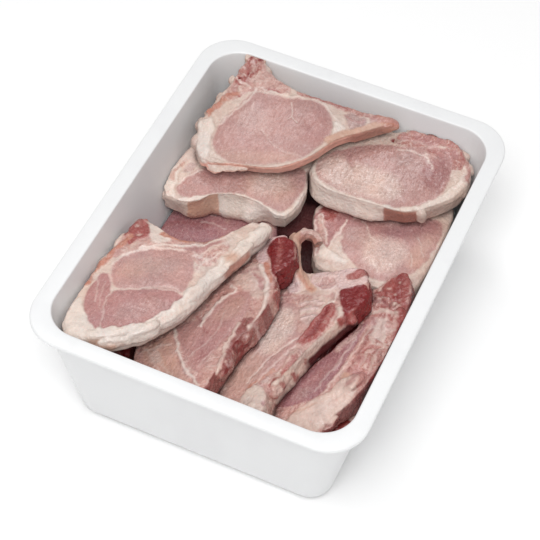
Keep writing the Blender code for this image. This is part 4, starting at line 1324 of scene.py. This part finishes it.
FRONT_THIRD = ChopPlan(
    "chop_front_third", (31, -57, 71), (1.6, -17.7), ROSE_MEAT, "chop_meat", BLUSH, BLUSH, seed=7,
    pitch=0.6,
    patches=(
        area(LEAN, (-19, 27), (-2, 31), (6, 16), (9, 3), (19, 8), (17, -8), (9, -29), (-3, -46),
             (-17, -50), (-30, -42), (-34, -16), (-28, 12), swell=0.7, rise=-0.3, ragged=0.8),
        area(WARM, (-34, -50), (-22, -52), (-6, -46), (2, -30), (-8, -16), (-26, -20), share=0.65,
             feather=8.0),
        area(PALE_SHEEN, (-18, 0), (-14, 22), (-2, 26), (6, 10), (4, -12), (-8, -22), share=1.0, feather=9.0),
        area(CREAM, (-23, 54), (-11, 58), (0, 62), (14, 66), (23, 56), (21, 44), (4, 38), (-12, 38),
             rise=0.5, ragged=1.4, share=0.7),
        area(GRISTLE, (-21, 54), (-20, 60), (-12, 51), (-5, 45), (-4, 39), (-12, 38), (-18, 44), rise=0.6,
             side=BOTH),
        area(GRISTLE, (-2, 52), (0, 62), (13, 66), (22, 54), (20, 46), (8, 44), rise=0.5, side=BOTH),
        area(VEIL, (0, 54), (8, 58), (16, 57), (18, 50), (12, 46), (4, 48), share=0.8, rise=-0.3),
        strip(SEAM, 1.2, (19, 56), (20, 49), (14, 45), (4, 46), share=0.8, rise=0.4),
        strip(ROSY, 2.0, (-21, 32), (-15, 36), (-10, 38), share=0.9, feather=1.4, rise=-0.4),
        strip(ROSY, 1.6, (-20, 28), (-13, 32), (-8, 34), share=0.8, feather=1.4, rise=-0.3),
        area(CREAM, (-2, 32), (11, 40), (24, 40), (22, 22), (15, 12), (6, 16), rise=0.2, ragged=2.4,
             feather=5.0, share=0.7),
        strip(GRISTLE, 2.0, (0, 31), (8, 34), (16, 33), rise=0.8, ragged=1.6, share=0.8),
        strip(GRISTLE, 1.8, (4, 25), (10, 28), (17, 27), rise=0.8, ragged=1.6, share=0.8),
        strip(GRISTLE, 1.8, (8, 18), (13, 21), (17, 19), rise=0.8, ragged=1.6, share=0.8),
        strip(ROSY, 1.8, (1, 28), (8, 31), (15, 30), ragged=1.6, share=0.7, rise=-0.6),
        strip(ROSY, 1.8, (6, 21), (12, 24), (17, 23), ragged=1.6, share=0.7, rise=-0.6),
        strip(SEAM, 1.6, (23, 46), (25, 38), (20, 34), rise=0.5, ragged=1.4, share=0.8),
        area(MARROW, (23, 47), (30, 53), (39, 58), (48, 46), (48, 36), (43, 24), (37, 21), (30, 35),
             rise=0.5, ragged=0.8, side=BOTH, feather=1.4),
        area(GRISTLE, (11, 62), (18, 70), (28, 75), (38, 66), (40, 57), (30, 52), (23, 47), (16, 55),
             rise=1.0, ragged=0.6, feather=1.2),
        area(BONE, (22, 61), (28, 66), (31, 74), (36, 68), (34, 61), (26, 57), rise=0.2, ragged=0.8,
             share=0.9),
        area(BONE, (26, 35), (20, 34), (17, 20), (14, 5), (12, -6), (16, -6), (24, 3), (27, 14), (29, 25),
             rise=0.8, ragged=0.8, feather=1.4),
        strip(MARROW, 3.0, (23, 30), (22, 18), (18, 4), share=0.8, feather=3.0, ragged=1.2),
        strip(BLUSH, 8.0, (16, -8), (15, -24), (12, -36), (10, -50), rise=0.5, ragged=2.0),
        strip(BONE, 3.0, (15, -14), (13, -28), (10, -42), share=0.8, rise=0.2, ragged=2.0),
        spot(CREAM, 3.2, (17, -20), (11, -32), (14, -40), ragged=1.8, share=0.7, rise=0.6),
        spot(ROSY, 5.0, (15, -21), (12, -48), ragged=1.8, share=0.7, feather=3.0),
        strip(CREAM, 3.2, (30, 31), (33, 25), (33, 18), (28, 4), (23, -8), (18, -22), (13, -40), rise=1.2,
              ragged=1.2, side=BOTH),
        area(CREAM, (-8, -52), (-1, -42), (8, -46), (14, -55), (10, -66), (-2, -68), rise=0.9, swell=0.5,
             side=BOTH),
        strip(RUST, 2.6, (-5, -45), (2, -36), (6, -28), share=0.8),
        strip(SEAM, 1.8, (-13, -23), (-12, -8), (-8, 5), share=0.5, ragged=2.0, feather=3.0),
        strip(SEAM, 1.0, (-8, -43), (0, -18), (12, 0), rise=-0.3, share=0.8),
        strip(SEAM, 0.9, (-2, -44), (6, -20), (14, -4), rise=-0.2, share=0.6),
        spot(PURPLE, 5.0, (12, -56), share=0.8, feather=2.0),
        strip(CREAM, 20.0, (35, 14), (29, 2), (24, -16), (18, -40), side=EDGE, feather=5.0, share=0.9),
        strip(BONE, 10.0, (47, 36), (42, 27), (38, 21), side=BOTH, feather=3.0, ragged=1.6),
        strip(BLUSH, 10.0, (24, -16), (20, -34), (16, -52), side=EDGE, feather=4.0, share=0.7,
              ragged=2.0),
        spot(BONE, 4.0, (22, -12), (18, -24), (14, -36), (12, -46), side=EDGE, ragged=2.0, share=0.8),
        # Painted shade: the side in the gap over the fourth chop is painted near-black below 7 mm.
        strip(PAINTED_SHADE, 22.0, (42, 34), (36, 22), (31, 8), (28, -2), side=EDGE, feather=7.0, ragged=1.4,
              below=7.0),
        strip(MARROW, 20.0, (48, 38), (42, 60), (32, 74), side=EDGE, feather=3.0),
        strip(TAN, 9.0, (-27, 86), (-22, 76), (-18, 67), (-14, 59), side=BOTH, ragged=0.5, rise=0.3),
        spot(RUST, 5.0, (-10, 52), share=0.6, feather=4.0),
        strip(BONE, 3.0, (16, -16), (14, -26), share=0.6, ragged=2.2, feather=2.5),
        strip(TAN, 5.5, (-14, 59), (-8, 53), (-2, 48), (4, 44), side=BOTH, ragged=0.5, rise=0.3),
        strip(RUST, 2.6, (-14, 57), (-9, 51), (-3, 47), (3, 44), share=0.7, ragged=0.6),
        strip(RIND, 9.0, (-17, 81), (-12, 84), (-7, 80), side=BOTH, ragged=0.4, share=0.8, feather=4.0,
              rise=-1.4),
        strip(TAN, 4.0, (-14, 78), (-11, 68), (-8, 61), side=EDGE, ragged=0.2, feather=4.0, rise=-1.5),
    ),
    lumps=(
        Lump((29, 62, -6), (8, 10, 7), -20), Lump((37, 47, -8), (7, 10, 8), -10),
        Lump((36, 32, -8), (6, 6, 7)), Lump((22, 16, -4), (4, 13, 5), -20),
        Lump((15, -12, -4), (4, 11, 6), -15), Lump((11, -36, -5), (5, 12, 6)),
        Lump((4, -58, -6), (9, 8, 8)), Lump((12, 26, -3), (7, 8, 3.4)), Lump((8, 56, -3), (12, 6, 5), 10),
        Lump((-26, 80, 4), (4, 9, 5), 20), Lump((-23, 71, 4), (4, 10, 5), 18),
        Lump((-19, 62, 3), (4, 10, 5), 20), Lump((-8, 53, -1), (4, 9, 4), 45),
        Lump((-1, 48, -2), (3.4, 7, 3), 60), Lump((-15, 47, -2), (7, 7, 4)),
    ),
    painted_shade_from=11.0,
)

FRONT_FOURTH = ChopPlan(
    "chop_front_fourth", (68, -50, 64), (5.5, -15.6), DARK_MEAT, "chop_meat", BLUSH, BLUSH, seed=8,
    pitch=0.6,
    patches=(
        area(DEEP, (-36, -58), (-36, -30), (-25, 4), (-10, 36), (2, 40), (8, 20), (-8, -24), (-17, -50),
             share=0.9, feather=3.0),
        area(PURPLE, (-6, -6), (-2, 8), (5, 19), (9, 28), (13, 33), (12, 16), (9, -6), (5, -24), (2, -37),
             (-9, -45), (-22, -50), (-23, -34), swell=0.7, rise=-0.3, ragged=0.8),
        area(PALE_SHEEN, (-3, 4), (5, 18), (10, 27), (10, 20), (5, 8), (0, 0), share=0.6, feather=3.0),
        area(ROSY, (-14, -38), (-10, -22), (-2, -8), (4, -10), (-2, -30), share=0.5, feather=7.0),
        area(GREY, (-18, -44), (-12, -30), (-4, -30), (-6, -42), share=0.5, feather=6.0),
        # Painted shade: a real 7 mm hollow under the third chop's edge, painted near-black as the shade in
        # it.
        area(PAINTED_SHADE, (-12, -3), (-10, 9), (-7, 17), (-7, 26), (-7, 33), (0, 40), (5, 42), (4, 32), (6, 24),
             (0, 14), (-3, 7), (-7, -2), rise=-7.0, ragged=0.6, feather=2.5),
        # Painted shadow: a dark line along the third chop's edge, in a shallow groove.
        strip(PAINTED_SHADE, 2.6, (-9, -3), (-19, -21), (-26, -40), (-33, -56), rise=-3.0, feather=3.0),
        strip(SEAM, 1.2, (9, 17), (5, -8), (-2, -32), rise=0.3, share=0.5),
        strip(SEAM, 1.2, (17, 28), (14, 10), (10, -9), (4, -32), rise=0.3, share=0.8),
        area(SHAG, (16, 27), (31, 25), (34, 8), (30, -10), (25, -32), (14, -30), (13, -11), (17, 8),
             rise=0.8, ragged=1.8, share=0.85),
        strip(CREAM, 3.0, (19, 26), (22, 12), (21, -4), share=0.7, ragged=1.6, rise=0.5),
        spot(ROSY, 5.0, (20, -12), (26, 0), share=0.8, ragged=2.0, feather=3.0),
        strip(CREAM, 2.0, (28, 26), (30, 10), (28, -8), share=0.7, ragged=1.6, rise=0.5),
        area(FAT, (14, 38), (26, 35), (32, 20), (28, 14), (22, 20), (14, 28), share=0.7, rise=0.6,
             ragged=2.0),
        area(ROSY, (3, 33), (6, 42), (13, 44), (18, 36), (16, 26), (10, 28), share=0.7, rise=0.3,
             ragged=1.8),
        area(SHAG, (3, 38), (4, 54), (16, 60), (32, 52), (30, 34), (20, 36), (13, 36), rise=0.6,
             ragged=2.0),
        spot(BONE, 4.0, (24, 52), (31, 46), (12, 54), (28, 36), ragged=2.2, share=0.8, side=BOTH),
        spot(CREAM, 3.6, (7, 38), (12, 48), (27, 47), (31, 42), (22, 42), ragged=1.8, share=0.85,
             rise=0.8),
        spot(BONE, 2.6, (17, 45), (24, 38), (9, 30), ragged=1.8, share=0.7),
        strip(BONE, 2.6, (22, 10), (20, 5), ragged=1.5, share=0.8),
        area(BONE, (10, 60), (12, 72), (20, 82), (29, 72), (31, 58), (24, 50), (16, 54), rise=0.7,
             ragged=1.0, side=BOTH, feather=1.4),
        strip(MARROW, 5.0, (18, 74), (24, 62), (27, 52), share=0.7, feather=4.0, ragged=1.8),
        spot(CREAM, 1.8, (17, 62), (21, 68), (24, 56), ragged=1.4, share=0.6),
        strip(SEAM, 1.2, (9, 58), (13, 68), (19, 78), share=0.6, rise=0.3),
        strip(CREAM, 2.6, (10, 38), (17, 42), (26, 40), (33, 44), ragged=2.0, share=0.8, rise=0.5),
        strip(BONE, 3.6, (8, 56), (18, 54), (28, 50), ragged=2.2, share=0.8, rise=-0.4),
        strip(DEEP, 2.0, (10, 47), (18, 47), (27, 44), ragged=2.2, share=0.7, rise=-0.6),
        spot(TAN, 6.0, (14, -15), (17, -20), share=0.8, feather=3.0, ragged=1.6),
        area(CREAM, (-9, -50), (-2, -40), (8, -31), (14, -17), (22, -12), (27, -24), (22, -43), (15, -56),
             (4, -70), (-14, -66), rise=0.9, swell=0.5, side=BOTH),
        strip(TAN, 2.4, (-10, -52), (2, -42), share=0.5, feather=3.0),
        strip(ROSY, 6.0, (19, 0), (19, -14), (21, -20), share=0.7, ragged=2.2, feather=3.0),
        strip(BONE, 5.0, (31, 58), (34, 46), (36, 34), (36, 20), rise=0.4, ragged=2.0, side=BOTH,
              feather=3.0),
        strip(MARROW, 3.0, (36, 34), (37, 20), (35, 0), (31, -20), ragged=1.6, side=BOTH, share=0.8),
        strip(DEEP, 2.4, (14, 34), (18, 24), (17, 8), (14, -10), ragged=1.8, share=0.5),
        strip(MARROW, 14.0, (40, 30), (38, 0), (30, -30), (20, -54), side=EDGE, feather=4.0, share=0.8),
        strip(BONE, 18.0, (38, 54), (26, 82), side=EDGE, feather=3.0),
    ),
    lumps=(
        Lump((20, 70, -6), (6, 10, 7), -12), Lump((30, 50, -7), (5, 6, 7)), Lump((27, 30, -3), (6, 8, 5)),
        Lump((27, 6, -3), (6, 13, 5), -4), Lump((22, -18, -3), (6, 11, 6), -14),
        Lump((10, 42, -3), (6, 6, 5)), Lump((31, 44, -1), (3.5, 4, 4)), Lump((25, 47, 0), (4, 3, 4), 30),
        Lump((18, 50, -1), (4, 4, 4)), Lump((8, -52, -4), (12, 10, 6), 20),
    ),
)

# Painted shade: this low chop's edge is painted near-black, as it lies in shade under the others.
LOW_LEFT = ChopPlan(
    "chop_low_left", (-55, 13, 48), (3, 0), LOW_MEAT, "deep_meat", PURPLE, PAINTED_SHADE, seed=9, pitch=0.9,
    patches=(
        area(ROSY, (-14, 30), (0, 42), (20, 30), (16, 8), (-6, 10), share=0.4, feather=9.0),
        area(DEEP, (-38, 36), (-36, 20), (-30, 8), (-28, 20), (-30, 40), share=0.6, feather=5.0),
        area(BLUSH, (18, 20), (30, 40), (38, 30), (36, 6), (22, 6), share=0.8, feather=5.0, ragged=2.0),
        strip(DEEP, 5.0, (-40, 0), (-24, 10), (-8, 12), share=0.7, feather=5.0, ragged=2.0),
        strip(BLUSH, 2.4, (-42, 12), (-28, 24), (-12, 27), (6, 29), share=0.8, feather=3.0, ragged=2.0),
        spot(BLUSH, 5.0, (2, 22), share=0.7, feather=4.0, ragged=2.0),
        strip(SEAM, 1.0, (-30, 30), (-20, 24), (-8, 22), share=0.5, ragged=2.0),
        strip(SEAM, 1.0, (-16, 12), (-8, 16), (2, 14), share=0.5, ragged=2.0),
        strip(BONE, 3.0, (4, 40), (16, 36), (26, 42), share=0.8, ragged=2.0),
        strip(BLUSH, 2.0, (-30, 20), (-12, 30), (6, 44), share=0.5, ragged=1.8),
    ),
)

# Painted shade: this low chop's edge is painted near-black, as it lies in shade under the others.
LOW_RIGHT = ChopPlan(
    "chop_low_right", (73, -79, 50), (0, -6), ROSE_MEAT, "deep_meat", BONE, PAINTED_SHADE, seed=10, pitch=0.9,
    patches=(
        area(BLUSH, (-10, -46), (4, -32), (18, -34), (12, -48), share=0.8, ragged=2.0),
        area(MARROW, (4, -20), (22, -20), (24, 10), (8, 14), share=0.8, ragged=2.0, feather=5.0),
        strip(CREAM, 2.0, (20, -38), (22, -18), (24, 6), share=0.7, ragged=1.8),
    ),
)

SCRAP = ChopPlan(
    "scrap_under_front", (-79, -104, 60), (0, -3), SHADED_MEAT, "deep_meat", MARROW, BONE, seed=11,
    pitch=0.9,
    patches=(
        area(ROSY, (-14, -8), (0, -20), (14, -22), (14, -4), (-4, 4), share=0.7, ragged=2.0),
        strip(CREAM, 2.0, (-12, -12), (2, -22), (16, -24), share=0.7, ragged=1.5),
    ),
)

# Painted shade: the pile below is seen only through gaps, and is painted near-black all over.
PILE = ChopPlan(
    "chops_below", (0, 0, 35), (0, 0), SHADED_MEAT, "deep_meat", PAINTED_SHADE, PAINTED_SHADE, seed=12, pitch=1.5,
    patches=(
        area(DEEP, (-80, -120), (-20, -110), (-10, -20), (-70, -30), share=0.6, feather=12.0),
        area(DEEP, (-50, 50), (4, 52), (10, 90), (-50, 90), feather=5.0, ragged=2.0, share=0.9),
    ),
)

CHOPS = (TOP_CHOP, BACK_MIDDLE, BACK_RIGHT, BACK_LOW, FRONT_FIRST, FRONT_SECOND, FRONT_THIRD,
         FRONT_FOURTH, LOW_LEFT, LOW_RIGHT, SCRAP, PILE)


# ---- the tub ----

@dataclass
class Tub:
    """The plastic tub: one section swept round a rounded rectangle.

    Sizes are in millimetres, and an inset is measured inwards from the rim's
    outer edge. corner_loss is how much of an inset the corner's radius loses.
    """

    rim_width: float = 12.0
    rim_corner: float = 29.0
    rim_rounding: float = 1.2
    lip: float = 2.4
    lip_rounding: float = 0.6
    lip_fillet: float = 1.2
    wall: float = 5.0
    wall_steps: tuple[float, ...] = (0.25, 0.4, 0.55, 0.7, 0.85, 0.93)
    base_inset: float = 25.5
    base_corner: float = 17.0
    base_share: float = 0.8
    base_fillet: float = 12.0
    inner_fillet: float = 9.0
    floor: float = 4.5
    corner_loss: float = 0.45
    least_corner: float = 5.0
    closing_inset: float = 2000.0
    weld: float = 0.000005
    corner_steps: int = 20
    finish: PlasticFinish = PlasticFinish()

    def __post_init__(self) -> None:
        """Take the tub's outer size from its CAD node."""
        low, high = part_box("tub")
        self.width, self.length, self.height = (high - low) / MM

    def _outer(self, height: float) -> float:
        """Return the inset of the wall's outer face at a height."""
        top = self.rim_width - self.wall
        return top + (self.base_inset - top) * (self.height - height) / self.height

    def _corner(self, height: float, inset: float) -> float:
        """Return the corner's radius at a height and inset."""
        top = self.rim_corner - inset * self.corner_loss
        return top + (self.base_corner - top) * (self.height - height) / self.height * self.base_share

    def hold(self, places: np.ndarray, gap: float = 0.4) -> np.ndarray:
        """Return places kept inside the tub's walls.

        Args:
            places: Rows of x, y and z in millimetres; each row is kept at its height.
            gap: The least distance to the wall.

        Returns:
            The rows, with those too far out moved back in.
        """
        inset = self._outer(places[:, 2]) + self.wall + gap
        corner = self._corner(places[:, 2], inset)[:, None]
        middle = np.array((self.width, self.length)) / 2 - inset[:, None] - corner
        across = np.abs(places[:, :2])
        over = np.maximum(across - middle, 0.0)
        distance = np.maximum(np.linalg.norm(over, axis=1), 1e-6)[:, None]
        kept = np.where(over > 0, middle + over * np.minimum(corner / distance, 1.0), across)
        return np.column_stack((np.sign(places[:, :2]) * kept, places[:, 2]))

    def _fillet(self, extra: float, foot: float, radius: float, steps: int = 9) -> list[Place]:
        """Return the round edge between a wall and a floor.

        Args:
            extra: How much further in than the outer face the wall's face is.
            foot: The height of the floor.
            radius: The radius of the round edge.
            steps: The number of its faces.

        Returns:
            Rows of inset, corner radius and height, floor first.
        """
        rows = []
        inset = self._outer(foot + radius) + extra
        for step in range(steps + 1):
            angle = step / steps * pi / 2
            height = foot + radius * (1 - cos(angle))
            reach = radius * (1 - sin(angle))
            corner = max(self._corner(height, inset + reach) - reach, self.least_corner)
            rows.append((inset + reach, corner, height))
        return rows

    def section(self) -> list[Place]:
        """Return the section from the middle of the underside to that of the floor.

        Returns:
            Rows of inset, corner radius and height, in millimetres. The first
            and last rows have the largest inset, which the sweep closes.
        """
        top = self.height
        under = top - self.lip - self.lip_rounding
        rows = self._fillet(0.0, 0.0, self.base_fillet)
        rows += self._side(0.0, self.wall_steps)
        rows.append((self._outer(top) + 0.1, self.rim_corner - 3.4, under - 2.0))
        for turn in (0.0, 0.5, 1.0):
            inset = self._outer(top) - 0.3 - self.lip_fillet * sin(turn * pi / 2)
            height = under - self.lip_fillet * cos(turn * pi / 2)
            rows.append((inset, self.rim_corner - 3.0, height))
        rows.append((1.0, self.rim_corner - 1.0, under))
        for turn in (0.25, 0.5, 0.75, 1.0):
            height = under + self.lip_rounding - self.lip_rounding * cos(turn * pi / 2)
            rows.append((0.5 - 0.5 * sin(turn * pi / 2), self.rim_corner - 0.4, height))
        rows += self._rounding(0.0, 1, top)
        rows.append((self.rim_width * 0.5, self.rim_corner - 3.0, top))
        rows += self._rounding(self.rim_width + 0.1, -1, top)
        rows += self._side(self.wall, self.wall_steps[::-1])
        rows += self._fillet(self.wall, self.floor, self.inner_fillet)[::-1]
        return rows

    def _side(self, extra: float, shares: Sequence[float]) -> list[Place]:
        """Return a wall's face.

        Args:
            extra: How much further in than the outer face it is.
            shares: The rows' heights, as shares of the tub's.

        Returns:
            Rows of inset, corner radius and height.
        """
        rows = []
        for share in shares:
            height = share * self.height
            inset = self._outer(height) + extra
            rows.append((inset, self._corner(height, inset), height))
        return rows

    def _rounding(self, edge: float, way: int, top: float, steps: int = 5) -> list[Place]:
        """Return a rounded edge of the rim.

        Args:
            edge: The inset of the face that the edge ends at.
            way: 1 for the outer edge and -1 for the inner.
            top: The height of the rim.
            steps: The number of the edge's faces.

        Returns:
            Rows of inset, corner radius and height, from outside to inside.
        """
        rows = []
        radius = self.rim_rounding
        for step in range(steps + 1):
            angle = step / steps * pi / 2
            inset = edge + way * radius * (1 - cos(angle))
            height = top - radius * (1 - sin(angle))
            rows.append((inset, self.rim_corner - inset * self.corner_loss, height))
        return rows[::way]

    def _tree(self) -> bpy.types.NodeTree:
        """Return the node tree that sweeps a section.

        Returns:
            A tree whose inputs are the section's mesh and the tub's sizes.
        """
        tree = bpy.data.node_groups.new("sweep_section_round_tub", "GeometryNodeTree")
        graph = NodeGraph(tree)
        face = tree.interface
        face.new_socket("Section", in_out="INPUT", socket_type="NodeSocketGeometry")
        for name in ("Half Width", "Half Length", "Rows", "Corner Steps"):
            kind = "NodeSocketInt" if name in ("Rows", "Corner Steps") else "NodeSocketFloat"
            face.new_socket(name, in_out="INPUT", socket_type=kind)
        face.new_socket("Finish", in_out="INPUT", socket_type="NodeSocketMaterial")
        face.new_socket("Shell", in_out="OUTPUT", socket_type="NodeSocketGeometry")
        source = tree.nodes.new("NodeGroupInput")
        given = {socket.name: Wire(graph, socket) for socket in source.outputs if socket.name}
        steps = given["Corner Steps"]
        columns = (steps + 1) * 4
        grid = graph.node("GeometryNodeMeshGrid", None, {
            "Size X": 1.0, "Size Y": 1.0, "Vertices X": columns + 1, "Vertices Y": given["Rows"]})
        index = graph.node("GeometryNodeInputIndex")
        column = (index / given["Rows"] + 0.0001).floor()
        row = index - column * given["Rows"]
        around = column - (column / columns + 0.0001).floor() * columns
        quarter = (around / (steps + 1) + 0.0001).floor()
        step = around - quarter * (steps + 1)
        angle = (quarter + step / steps) * (pi / 2)
        middle = (quarter + 0.5) * (pi / 2)
        side_x = middle.cosine().over(0.0) * 2 - 1
        side_y = middle.sine().over(0.0) * 2 - 1
        profile = graph.node("GeometryNodeSampleIndex", {"data_type": "FLOAT_VECTOR", "domain": "POINT"}, {
            "Geometry": given["Section"], "Value": graph.node("GeometryNodeInputPosition"),
            "Index": row})
        inset, corner, height = (graph.node("ShaderNodeSeparateXYZ", None, {0: profile}, output=axis)
                                 for axis in range(3))
        x = side_x * (given["Half Width"] - inset - corner) + corner * angle.cosine()
        y = side_y * (given["Half Length"] - inset - corner) + corner * angle.sine()
        open_row = (inset * -1.0).over(-1.0)
        place = graph.node("ShaderNodeCombineXYZ", None, {0: x * open_row, 1: y * open_row, 2: height})
        swept = graph.node("GeometryNodeSetPosition", None, {"Geometry": grid, "Position": place})
        closed = graph.node("GeometryNodeMergeByDistance", None, {
            "Geometry": swept, "Distance": self.weld})
        flipped = graph.node("GeometryNodeFlipFaces", None, {"Mesh": closed})
        real = graph.node("GeometryNodeRealizeInstances", None, {"Geometry": flipped})
        dressed = graph.node("GeometryNodeSetMaterial", None, {
            "Geometry": real, "Material": given["Finish"]})
        graph.node("NodeGroupOutput", None, {"Shell": dressed})
        return tree

    def piece(self) -> bpy.types.Object:
        """Sweep, dress and place the tub.

        Returns:
            The finished object, which replaces the tub's CAD node.
        """
        rows = self.section()
        first = (self.closing_inset, self.least_corner, rows[0][2])
        last = (self.closing_inset, self.least_corner, rows[-1][2])
        rows = [first, *rows, last]
        data = bpy.data.meshes.new("tub_section")
        data.from_pydata([(inset * MM, corner * MM, height * MM) for inset, corner, height in rows],
                         [(number, number + 1) for number in range(len(rows) - 1)], [])
        guide = bpy.data.objects.new("tub_section", data)
        bpy.context.scene.collection.objects.link(guide)
        values = {"Half Width": self.width * MM / 2, "Half Length": self.length * MM / 2,
                  "Rows": len(rows), "Corner Steps": self.corner_steps, "Finish": self.finish.material()}
        shell = run_tree(guide, self._tree(), values, "plastic_tub")
        shell.data.shade_smooth()
        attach(shell, BODY)
        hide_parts("tub")
        log.info("%s: %d faces", shell.name, len(shell.data.polygons))
        return shell


def run_tree(item: bpy.types.Object, tree: bpy.types.NodeTree, values: dict[str, Any],
             name: str) -> bpy.types.Object:
    """Run a node tree on an object and keep the result as a plain mesh.

    Args:
        item: The object that the tree starts from; it is removed.
        tree: The node tree.
        values: The tree's inputs by name.
        name: The name of the result.

    Returns:
        A new object with the result.
    """
    maker = item.modifiers.new("make", "NODES")
    maker.node_group = tree
    for socket in tree.interface.items_tree:
        if socket.item_type == "SOCKET" and socket.in_out == "INPUT" and socket.name in values:
            maker[socket.identifier] = values[socket.name]
    return kept(item, name)


# ---- the studio ----

@dataclass(frozen=True)
class Studio:
    """Plain pale floor, soft light and the camera."""

    azimuth: float = 22.238
    elevation: float = 52.160
    roll: float = 2.646
    distance: float = 1303.1
    target: Place = (-21.82, 43.53, 0.0)
    lens: float = 115.03
    sensor: float = 36.0
    world_strength: float = 0.45
    key_place: Place = (0.28, -0.95, 1.90)
    key_size: float = 1.0
    key_power: float = 30.0
    sheen_place: Place = (-0.50, 0.62, 2.00)
    sheen_size: float = 0.55
    sheen_power: float = 8.0
    floor_colour: Colour = (0.94, 0.94, 0.94)
    floor_reach: float = 6.0
    floor_gap: float = 0.0005

    def camera(self) -> None:
        """Place the camera and make it the scene's."""
        around, above = radians(self.azimuth), radians(self.elevation)
        back = Vector((sin(around) * cos(above), -cos(around) * cos(above), sin(above)))
        data = bpy.data.cameras.new("camera")
        data.sensor_width = self.sensor
        data.lens = self.lens
        data.clip_start = 0.05
        camera = bpy.data.objects.new("camera", data)
        bpy.context.scene.collection.objects.link(camera)
        aim = (-back).to_track_quat("-Z", "Y").to_matrix()
        turn = aim @ Matrix.Rotation(radians(self.roll), 3, "Z")
        place = (Vector(self.target) + back * self.distance) * MM
        camera.matrix_world = Matrix.Translation(place) @ turn.to_4x4()
        bpy.context.scene.camera = camera

    def floor(self) -> None:
        """Lay the pale floor under the tub."""
        mesh = bmesh.new()
        bmesh.ops.create_grid(mesh, x_segments=1, y_segments=1, size=self.floor_reach)
        data = bpy.data.meshes.new("floor")
        mesh.to_mesh(data)
        mesh.free()
        material = bpy.data.materials.new("pale_floor")
        material.use_nodes = True
        graph = NodeGraph(material.node_tree)
        shader = graph.node("ShaderNodeBsdfPrincipled", None,
                            {"Base Color": self.floor_colour, "Roughness": 0.9, "Specular IOR Level": 0.1})
        graph.node("ShaderNodeOutputMaterial", None, {"Surface": shader})
        data.materials.append(material)
        floor = bpy.data.objects.new("floor", data)
        bpy.context.scene.collection.objects.link(floor)
        floor.location.z = -self.floor_gap

    def light(self) -> None:
        """Hang the soft light and set the pale surroundings."""
        world = bpy.data.worlds.new("surroundings")
        world.use_nodes = True
        graph = NodeGraph(world.node_tree)
        shine = graph.node("ShaderNodeBackground", None,
                           {"Color": (1.0, 1.0, 1.0), "Strength": self.world_strength})
        graph.node("ShaderNodeOutputWorld", None, {"Surface": shine})
        bpy.context.scene.world = world
        self._soft_box("key", Vector(self.key_place), self.key_size, self.key_power)
        self._soft_box("sheen", Vector(self.sheen_place), self.sheen_size, self.sheen_power)

    @staticmethod
    def _soft_box(name: str, place: Vector, size: float, power: float) -> None:
        """Hang a square soft light that faces the tub.

        Args:
            name: The light's name.
            place: Where it hangs, in metres.
            size: The length of its side, in metres.
            power: Its power in watts.
        """
        data = bpy.data.lights.new(name, "AREA")
        data.size = size
        data.energy = power
        lamp = bpy.data.objects.new(name, data)
        bpy.context.scene.collection.objects.link(lamp)
        lamp.location = place
        lamp.rotation_mode = "QUATERNION"
        lamp.rotation_quaternion = (-place).to_track_quat("-Z", "Y")

    def build(self) -> None:
        """Set up the whole studio."""
        self.camera()
        self.floor()
        self.light()
        bpy.context.scene.view_settings.view_transform = "Standard"
        bpy.context.scene.view_settings.look = "None"


def main() -> None:
    """Build the studio, the tub and the chops, then paint shade where the chops lie close together."""
    Studio().build()
    Tub().piece()
    pieces = [(plan, Sculptor(plan).piece()) for plan in CHOPS]
    # Painted shade: darken the chops' colours where they lie close together, all but the low left chop.
    PaintedContactShade().darken([piece for plan, piece in pieces if plan.finish is not LOW_MEAT])


if __name__ == "__main__":
    main()
